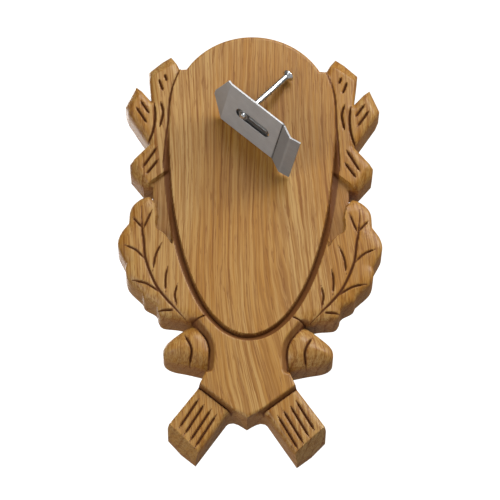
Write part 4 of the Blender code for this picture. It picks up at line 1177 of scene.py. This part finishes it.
def oak_grain_group():
    """Straight-grained oak: growth lines stand upright and lean into the board's thickness, bent by slow
    noise. Each line is a sharp dark edge that fades to one side, as a saw tooth of the distance across the
    board does, and is broken by noise along it. Warm zones and streaks tint the wood between the lines,
    fine fibres darken it, and flecks above a threshold, lower on a line, are its pores."""
    known = bpy.data.node_groups.get("oak_grain")
    if known:
        return known
    colour, number = "NodeSocketColor", "NodeSocketFloat"
    group, n, given, out = new_group("oak_grain", (
        ("Light wood", colour, (0.5, 0.3, 0.13, 1.0)),
        ("Warm wood", colour, (0.35, 0.17, 0.05, 1.0)),
        ("Dark wood", colour, (0.25, 0.12, 0.04, 1.0)),
        ("Line contrast", number, 0.6),
        ("Pore contrast", number, 0.5),
        ("Line spacing", number, 0.0062),
    ), (("Colour", colour), ("Pores", number), ("Height", number)))
    place = n.add("ShaderNodeTexCoord").outputs["Object"]
    split = n.add("ShaderNodeSeparateXYZ", inputs={0: place}).outputs
    slow = n.noise(n.stretched(place, (13.0, 13.0, 3.2)), 1.0, 1.0)
    drift = n.noise(n.stretched(place, (60.0, 60.0, 20.0)), 1.0, 2.0)
    x = n.math("MULTIPLY_ADD", slow, 0.050, split[0])
    x = n.math("MULTIPLY_ADD", drift, 0.0035, x)
    x = n.math("MULTIPLY_ADD", split[1], 0.30, x)
    x = n.math("MULTIPLY_ADD", split[2], 0.08, x)
    bent = n.add("ShaderNodeCombineXYZ", inputs={0: x, 1: split[1], 2: split[2]}).outputs[0]
    phase = n.math("FRACT", n.math("DIVIDE", x, given["Line spacing"]))
    line = n.math("MULTIPLY", n.ramp(phase, 0.0, 0.05), n.ramp(phase, 0.05, 0.42, 1.0, 0.0))
    strength = n.noise(n.stretched(bent, (90.0, 40.0, 7.0)), 1.0, 3.0, 0.6)
    line = n.math("MULTIPLY", line, n.ramp(strength, 0.36, 0.64, 0.12, 1.0))
    zone = n.noise(n.stretched(bent, (36.0, 20.0, 4.5)), 1.0, 2.0, 0.5)
    streak = n.noise(n.stretched(bent, (520.0, 240.0, 11.0)), 1.0, 3.0, 0.6)
    fibre = n.noise(n.stretched(bent, (1150.0, 700.0, 26.0)), 1.0, 3.0, 0.65)
    fleck = n.noise(n.stretched(bent, (1300.0, 900.0, 95.0)), 1.0, 2.0, 0.5)
    pores = n.ramp(n.math("SUBTRACT", fleck, n.math("MULTIPLY_ADD", line, -0.10, 0.60)), 0.0, 0.10)
    in_zone, in_streak = n.ramp(zone, 0.38, 0.64, 0.0, 0.60), n.ramp(streak, 0.40, 0.66, 0.0, 0.50)
    warm = n.math("ADD", in_zone, in_streak, clamp=True)
    wood = n.mix(warm, given["Light wood"], given["Warm wood"])
    share = n.math("MULTIPLY_ADD", line, given["Line contrast"], n.ramp(fibre, 0.42, 0.62, 0.0, 0.62))
    share = n.math("MULTIPLY_ADD", n.ramp(streak, 0.52, 0.78), 0.20, share, clamp=True)
    wood = n.mix(share, wood, given["Dark wood"])
    wood = n.mix(n.math("MULTIPLY", pores, given["Pore contrast"]), wood, PORE_COLOUR)
    n.tree.links.new(wood, out["Colour"])
    n.tree.links.new(pores, out["Pores"])
    height = n.math("MULTIPLY_ADD", pores, -1.0, n.math("MULTIPLY", fibre, 0.35))
    n.tree.links.new(height, out["Height"])
    return group


def metal_wear_group():
    """Fine lines along a sheet, small scratches and blotches, from the piece's own flat layout."""
    known = bpy.data.node_groups.get("metal_wear")
    if known:
        return known
    number = "NodeSocketFloat"
    group, n, given, out = new_group("metal_wear", (
        ("Place", "NodeSocketVector", (0.0, 0.0, 0.0)),
        ("Line strength", number, 1.0),
    ), (("Lines", number), ("Blotches", number), ("Height", number)))
    lines = n.noise(n.stretched(given["Place"], (60.0, 2600.0, 60.0)), 1.0, 4.0, 0.6)
    fine = n.noise(n.stretched(given["Place"], (300.0, 9000.0, 300.0)), 1.0, 2.0, 0.6)
    both = n.math("MULTIPLY", n.math("ADD", lines, fine), 0.5)
    blotches = n.noise(n.stretched(given["Place"], (110.0, 110.0, 110.0)), 1.0, 4.0, 0.6)
    n.tree.links.new(both, out["Lines"])
    n.tree.links.new(blotches, out["Blotches"])
    n.tree.links.new(n.math("MULTIPLY", both, given["Line strength"]), out["Height"])
    return group


def new_material(name):
    """A material with an empty tree but its output and Principled shader."""
    material = bpy.data.materials.new(name)
    material.use_nodes = True
    shader = material.node_tree.nodes["Principled BSDF"]
    return material, Nodes(material.node_tree), shader


def oak_material(name, woods, cuts, lines, pores, roughness, coat, bump):
    """Oak with its grain group under a lacquer's coat. Where the stain-and-shade attribute rises it reddens
    and then darkens, and loses its gloss: stain with painted shade in the V cuts, and painted shade in the
    groove, along the parting lines, in the hollow and in the holes. Lines and pores say how much each shows."""
    material, n, shader = new_material(name)
    grain = n.add("ShaderNodeGroup", node_tree=oak_grain_group())
    edge_colour, stain_and_shade_colour = cuts
    for label, shade in zip(("Light wood", "Warm wood", "Dark wood"), woods):
        grain.inputs[label].default_value = (*shade, 1.0)
    grain.inputs["Line contrast"].default_value = lines
    grain.inputs["Pore contrast"].default_value = pores
    stain = n.add("ShaderNodeAttribute", attribute_name="stain").outputs["Fac"]
    # Reddening and then darkening from the stain-and-shade attribute: mostly painted shade, with real stain
    # in the V cuts
    reddened = n.mix(n.ramp(stain, 0.0, 0.60, 0.0, 0.95), grain.outputs["Colour"], (*edge_colour, 1.0))
    stained_and_shaded = n.mix(n.ramp(stain, 0.55, 1.0, 0.0, 0.95), reddened, (*stain_and_shade_colour, 1.0))
    links = material.node_tree.links
    links.new(stained_and_shaded, shader.inputs["Base Color"])
    gloss = n.math("MULTIPLY_ADD", grain.outputs["Pores"], 0.2, roughness)
    links.new(n.math("MULTIPLY_ADD", stain, 0.4, gloss, clamp=True), shader.inputs["Roughness"])
    links.new(n.math("MULTIPLY_ADD", stain, -coat, coat, clamp=True), shader.inputs["Coat Weight"])
    shader.inputs["Coat Roughness"].default_value = 0.25
    shader.inputs["Specular IOR Level"].default_value = 0.28
    relief = {"Strength": bump, "Distance": 0.0002, "Height": grain.outputs["Height"]}
    links.new(n.add("ShaderNodeBump", inputs=relief).outputs[0], shader.inputs["Normal"])
    return material


def steel_material(name, colour, metallic, roughness, spread, line_strength):
    """Metal with fine lines from its flat layout, darkened by the painted shade that the piece's shade
    attribute holds. Spread is how much rougher its paler places are."""
    material, n, shader = new_material(name)
    place = n.add("ShaderNodeUVMap", uv_map="sheet").outputs[0]
    wear = n.add("ShaderNodeGroup", node_tree=metal_wear_group())
    links = material.node_tree.links
    links.new(place, wear.inputs["Place"])
    wear.inputs["Line strength"].default_value = line_strength
    tone = n.ramp(wear.outputs["Blotches"], 0.25, 0.75, 0.0, 1.0)
    lines = n.ramp(wear.outputs["Lines"], 0.3, 0.7, 0.0, 1.0)
    shade = n.math("MULTIPLY_ADD", tone, 0.35, n.math("MULTIPLY", lines, 0.5))
    low = tuple(0.8 * part for part in colour)
    high = tuple(min(1.0, 1.15 * part) for part in colour)
    painted_shade = n.add("ShaderNodeAttribute", attribute_name="shade").outputs["Fac"]
    tinted = n.mix(shade, (*low, 1.0), (*high, 1.0))
    links.new(n.mix(painted_shade, tinted, SHADE_COLOUR), shader.inputs["Base Color"])
    links.new(n.math("MULTIPLY_ADD", shade, spread, roughness), shader.inputs["Roughness"])
    shader.inputs["Metallic"].default_value = metallic
    relief = {"Strength": 0.25, "Distance": 0.00005, "Height": wear.outputs["Height"]}
    links.new(n.add("ShaderNodeBump", inputs=relief).outputs[0], shader.inputs["Normal"])
    return material


def screw_material(colour):
    """Bright zinc: bluish, with random duller blotches, and painted shade darkening the thread roots."""
    material, n, shader = new_material("bright_zinc")
    place = n.add("ShaderNodeTexCoord").outputs["Object"]
    crest = n.add("ShaderNodeAttribute", attribute_name="crest").outputs["Fac"]
    blotch = n.noise(n.stretched(place, (600.0, 600.0, 600.0)), 1.0, 3.0)
    links = material.node_tree.links
    dull_and_shaded = tuple(0.55 * part for part in colour)
    share = n.math("MULTIPLY_ADD", crest, 0.5, n.ramp(blotch, 0.3, 0.7, 0.3, 0.6), clamp=True)
    links.new(n.mix(share, (*dull_and_shaded, 1.0), (*colour, 1.0)), shader.inputs["Base Color"])
    links.new(n.ramp(blotch, 0.3, 0.7, 0.16, 0.30), shader.inputs["Roughness"])
    shader.inputs["Metallic"].default_value = 1.0
    return material


# Stage


def make_backdrop(settings):
    """Floor and rear wall in one sheet: a flat floor, a quarter circle and an upright wall, carried
    sideways."""
    bend, reach = BACKDROP_BEND, BACKDROP_REACH
    turn = np.linspace(0.0, 0.5 * math.pi, 16)
    y = np.concatenate(([-reach], settings.wall_gap - bend + bend * np.sin(turn), [settings.wall_gap]))
    z = np.concatenate(([0.0], bend - bend * np.cos(turn), [reach])) - settings.floor_drop
    across = np.array((-reach, reach))
    points = np.stack(np.broadcast_arrays(across[None, :], y[:, None], z[:, None]), axis=-1).reshape(-1, 3)
    rows = np.arange(len(y) - 1) * 2
    faces = np.column_stack((rows, rows + 1, rows + 3, rows + 2)).tolist()
    material, n, shader = new_material("pale_backdrop")
    shade = tuple(settings.shade)
    grain = n.noise(n.add("ShaderNodeTexCoord").outputs["Object"], 3.0, 2.0)
    darker = tuple(0.97 * part for part in shade)
    n.tree.links.new(n.mix(grain, (*shade, 1.0), (*darker, 1.0)), shader.inputs["Base Color"])
    shader.inputs["Roughness"].default_value = 0.9
    seen = n.add("ShaderNodeLightPath").outputs["Is Camera Ray"]
    dim = tuple(settings.glow)
    n.tree.links.new(n.mix(seen, (*dim, 1.0), WHITE), shader.inputs["Emission Color"])
    shader.inputs["Emission Strength"].default_value = 1.0
    mesh = bpy.data.meshes.new("backdrop")
    mesh.from_pydata(points.tolist(), [], faces)
    mesh.materials.append(material)
    item = bpy.data.objects.new("backdrop", mesh)
    bpy.context.scene.collection.objects.link(item)


def make_lights(settings):
    """A wide key light above in front, a narrower one on the right for the lacquer's sheen, a soft fill
    from below on the left, one for the back, and a pale sky that looks white to the camera."""
    for name, place, size, power in (
        ("key_light", (0.50, -1.75, 1.75), 1.2, settings.key_power),
        ("sheen_light", (1.25, -0.75, 0.95), 0.7, settings.sheen_power),
        ("fill_light", (-1.15, -1.2, -0.55), 0.9, settings.fill_power),
        ("rear_light", (-1.0, 1.6, 0.9), 1.0, settings.rear_power),
    ):
        light = bpy.data.lights.new(name, "AREA")
        light.shape = "SQUARE"
        light.size = size
        light.energy = power
        item = bpy.data.objects.new(name, light)
        item.location = place
        item.rotation_euler = (-Vector(place)).to_track_quat("-Z", "Y").to_euler()
        bpy.context.scene.collection.objects.link(item)
    world = bpy.data.worlds.new("pale_sky")
    world.use_nodes = True
    nodes, links = world.node_tree.nodes, world.node_tree.links
    background = nodes["Background"]
    background.inputs["Color"].default_value = SKY_COLOUR
    background.inputs["Strength"].default_value = settings.sky
    seen = nodes.new("ShaderNodeBackground")
    seen.inputs["Color"].default_value = WHITE
    choice = nodes.new("ShaderNodeMixShader")
    links.new(nodes.new("ShaderNodeLightPath").outputs["Is Camera Ray"], choice.inputs[0])
    links.new(background.outputs[0], choice.inputs[1])
    links.new(seen.outputs[0], choice.inputs[2])
    links.new(choice.outputs[0], nodes["World Output"].inputs["Surface"])
    bpy.context.scene.world = world
    bpy.context.scene.view_settings.view_transform = "Standard"


def make_camera():
    """Camera with a long lens that looks up at the board from below, slightly rolled."""
    pitch, roll = math.radians(CAMERA_PITCH), math.radians(CAMERA_ROLL)
    ahead = Vector((0.0, math.cos(pitch), math.sin(pitch)))
    level = Vector((1.0, 0.0, 0.0))
    upright = Vector((0.0, -math.sin(pitch), math.cos(pitch)))
    right = math.cos(roll) * level + math.sin(roll) * upright
    up = math.cos(roll) * upright - math.sin(roll) * level
    data = bpy.data.cameras.new("camera")
    data.sensor_width = CAMERA_SENSOR
    data.lens = CAMERA_LENS
    data.clip_start = 0.05
    item = bpy.data.objects.new("camera", data)
    place = Matrix((right, up, -ahead)).transposed().to_4x4()
    place.translation = Vector(CAMERA_TARGET) - CAMERA_DISTANCE * ahead
    item.matrix_world = place
    bpy.context.scene.collection.objects.link(item)
    bpy.context.scene.camera = item


# Settings


def length(name, text, value):
    """A setting for a length in metres."""
    return FloatProperty(name=name, description=text, default=value, subtype="DISTANCE", unit="LENGTH")


def power(name, text, value):
    """A setting for a light's power in watts."""
    return FloatProperty(name=name, description=text, default=value, subtype="POWER", unit="POWER")


def colour(name, text, value):
    """A setting for a colour, as linear red, green and blue."""
    return FloatVectorProperty(name=name, description=text, default=value, subtype="COLOR", size=3,
                               min=0.0, max=1.0)


class BoardSettings(bpy.types.PropertyGroup):
    """Sizes and colours of the carved board"""
    board_thick: length("Thickness", "Thickness of the board at its field", -float(BOARD_LOW[1]))
    grid_step: length("Grid step", "Spacing of the carved face's points", 0.00066)
    edge_ease: length("Edge ease", "Width of the rounding along the front edge", 0.0015)
    groove_depth: length("Groove depth", "Depth of the groove around the oval field", 0.0040)
    groove_width: length("Groove width", "Width over which the groove rises again", 0.0048)
    hollow_depth: length("Hollow depth", "Depth of the ground between stub and leaf", 0.0050)
    vein_depth: length("Vein depth", "Depth of the leaf's V cuts", 0.0015)
    bark_depth: length("Bark depth", "Depth of the bark's V cuts", 0.0020)
    screw_hole: length("Screw hole", "Diameter of the hole for the clamp's screw", 0.0055)
    screw_sink: length("Countersink", "Diameter of the countersink at the back", 0.0093)
    hang_entry: length("Hanging entry", "Diameter of the hanging slot's entry", 0.0100)
    hang_slot: length("Hanging slot", "Width of the hanging slot", 0.0054)
    light_wood: colour("Light wood", "Colour of the palest grain", (0.440, 0.266, 0.090))
    warm_wood: colour("Warm wood", "Colour of the broad warmer zones", (0.355, 0.163, 0.025))
    dark_wood: colour("Dark wood", "Colour of the fine lines", (0.215, 0.078, 0.008))
    # Colours of the stain-and-shade attribute: painted shade in groove, parting lines, hollow and holes, and
    # stain with painted shade in the V cuts
    cut_edge: colour("Cut edge", "Colour of the groove and of the cuts' slopes", (0.130, 0.043, 0.008))
    cut_stain_and_shade: colour("Cut stain", "Colour in the depth of the cuts", (0.095, 0.028, 0.005))


class ClampSettings(bpy.types.PropertyGroup):
    """Sizes and colours of the clamp, its screw and its nut"""
    sheet_thick: length("Sheet thickness", "Thickness of the clamp's sheet steel", 0.0013)
    clamp_width: length("Width", "Width of the strip", 0.0356)
    plate_length: length("Plate length", "Length of the flat part with the slot", 0.0423)
    bend_length: length("Bend length", "Length over which each bend turns", 0.0007)
    heading: FloatProperty(name="Heading", description="Turn of the clamp on the board's face",
                           default=math.radians(39.5), subtype="ANGLE", unit="ROTATION")
    clamp_x: length("Across", "Place of the plate's lower corner across the board", -0.0200)
    clamp_z: length("Up", "Place of the plate's lower corner above the board's middle", 0.0822)
    screw_diameter: length("Screw diameter", "Outer diameter of the thread", 0.0040)
    screw_length: length("Screw length", "Whole length of the screw", 0.0480)
    screw_pitch: length("Pitch", "Distance between two turns of the thread", 0.0007)
    thread_length: length("Thread length", "Length of the threaded part from the screw's end", 0.0140)
    thread_depth: length("Thread depth", "Depth of the thread", 0.00038)
    head_diameter: length("Head diameter", "Diameter of the screw's flat head", 0.0078)
    recess_depth: length("Recess depth", "Depth of the cross recess", 0.0015)
    steel: colour("Steel", "Colour of the clamp", (0.44, 0.445, 0.45))
    zinc: colour("Zinc", "Colour of the screw", (0.72, 0.76, 0.80))
    nut_zinc: colour("Nut zinc", "Colour of the sliding nut", (0.60, 0.60, 0.59))


class StageSettings(bpy.types.PropertyGroup):
    """Backdrop and lights"""
    floor_drop: length("Floor", "Depth of the floor below the board's middle", 1.15)
    wall_gap: length("Wall", "Distance of the rear wall behind the board", 3.6)
    key_power: power("Key light", "Power of the main light", 44.0)
    sheen_power: power("Sheen light", "Power of the light on the right", 19.0)
    fill_power: power("Fill light", "Power of the soft fill light", 13.0)
    rear_power: power("Rear light", "Power of the light behind the board", 26.0)
    sky: FloatProperty(name="Ambient", description="Strength of the light from all around", default=0.17)
    shade: colour("Backdrop", "Colour of floor and wall", (0.40, 0.40, 0.40))
    glow: colour("Glow", "Light that floor and wall give to the plaque", (0.10, 0.10, 0.10))


# Operators


class PLAQUE_OT_board(bpy.types.Operator):
    """Carve the oak board"""
    bl_idname = "plaque.board"
    bl_label = "Carve the board"

    def execute(self, context):
        s = context.scene.plaque_board
        woods = [tuple(shade) for shade in (s.light_wood, s.warm_wood, s.dark_wood)]
        # The walls take the wood a little darker and redder: partly the sawn wall's own colour, partly
        # painted shade for walls facing away from the lights
        wall_tone_and_shade = [(0.95 * red, 0.86 * green, 0.85 * blue) for red, green, blue in woods]
        cuts = (tuple(s.cut_edge), tuple(s.cut_stain_and_shade))
        face = oak_material("lacquered_oak", woods, cuts, lines=0.55, pores=0.65, roughness=0.44,
                            coat=0.08, bump=0.30)
        side = oak_material("oak_side", wall_tone_and_shade, cuts, lines=0.5, pores=0.5, roughness=0.55,
                            coat=0.05, bump=0.4)
        back = oak_material("oak_back", woods, cuts, lines=0.5, pores=0.5, roughness=0.65,
                            coat=0.0, bump=0.5)
        piece = carve_board(s, [face, side, back])
        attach(piece, "root")
        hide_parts("plaque")
        return {"FINISHED"}


class PLAQUE_OT_clamp(bpy.types.Operator):
    """Bend the slotted steel clamp"""
    bl_idname = "plaque.clamp"
    bl_label = "Bend the clamp"

    def execute(self, context):
        s = context.scene.plaque_clamp
        steel = steel_material("brushed_steel", tuple(s.steel), metallic=0.35, roughness=0.42,
                               spread=0.14, line_strength=1.0)
        piece = bend_clamp(s, steel)
        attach(piece, "root")
        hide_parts("clamp")
        return {"FINISHED"}


class PLAQUE_OT_screw(bpy.types.Operator):
    """Turn the long countersunk screw"""
    bl_idname = "plaque.screw"
    bl_label = "Turn the screw"

    def execute(self, context):
        s = context.scene.plaque_clamp
        piece = turn_screw(s, screw_material(tuple(s.zinc)))
        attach(piece, "root")
        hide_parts("screw")
        return {"FINISHED"}


class PLAQUE_OT_nut(bpy.types.Operator):
    """Press the nut that slides behind the slot"""
    bl_idname = "plaque.nut"
    bl_label = "Press the nut"

    def execute(self, context):
        s = context.scene.plaque_clamp
        zinc = steel_material("nut_zinc_plate", tuple(s.nut_zinc), metallic=0.6, roughness=0.38,
                              spread=0.12, line_strength=0.4)
        piece = press_nut(s, zinc)
        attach(piece, "root")
        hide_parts("sliding_nut")
        return {"FINISHED"}


class PLAQUE_OT_stage(bpy.types.Operator):
    """Set up the backdrop, the lights and the camera"""
    bl_idname = "plaque.stage"
    bl_label = "Set the stage"

    def execute(self, context):
        s = context.scene.plaque_stage
        make_backdrop(s)
        make_lights(s)
        make_camera()
        return {"FINISHED"}


class PLAQUE_PT_panel(bpy.types.Panel):
    """Steps that build the plaque, in order"""
    bl_idname = "PLAQUE_PT_panel"
    bl_label = "Antler plaque"
    bl_space_type = "VIEW_3D"
    bl_region_type = "UI"
    bl_category = "Plaque"

    def draw(self, context):
        for kind in OPERATORS:
            self.layout.operator(kind.bl_idname)
        for group in (context.scene.plaque_board, context.scene.plaque_clamp, context.scene.plaque_stage):
            box = self.layout.box()
            for key in group.__annotations__:
                box.prop(group, key)


OPERATORS = (PLAQUE_OT_board, PLAQUE_OT_clamp, PLAQUE_OT_screw, PLAQUE_OT_nut, PLAQUE_OT_stage)
CLASSES = (BoardSettings, ClampSettings, StageSettings, *OPERATORS, PLAQUE_PT_panel)


def register():
    """Makes the settings, operators and panel known, and gives the scene its settings."""
    for kind in CLASSES:
        bpy.utils.register_class(kind)
    bpy.types.Scene.plaque_board = PointerProperty(type=BoardSettings)
    bpy.types.Scene.plaque_clamp = PointerProperty(type=ClampSettings)
    bpy.types.Scene.plaque_stage = PointerProperty(type=StageSettings)


def unregister():
    """Takes back what register did, in the opposite order."""
    del bpy.types.Scene.plaque_stage
    del bpy.types.Scene.plaque_clamp
    del bpy.types.Scene.plaque_board
    for kind in reversed(CLASSES):
        bpy.utils.unregister_class(kind)


def main():
    register()
    bpy.ops.plaque.board()
    bpy.ops.plaque.clamp()
    bpy.ops.plaque.screw()
    bpy.ops.plaque.nut()
    bpy.ops.plaque.stage()


if __name__ == "__main__":
    main()
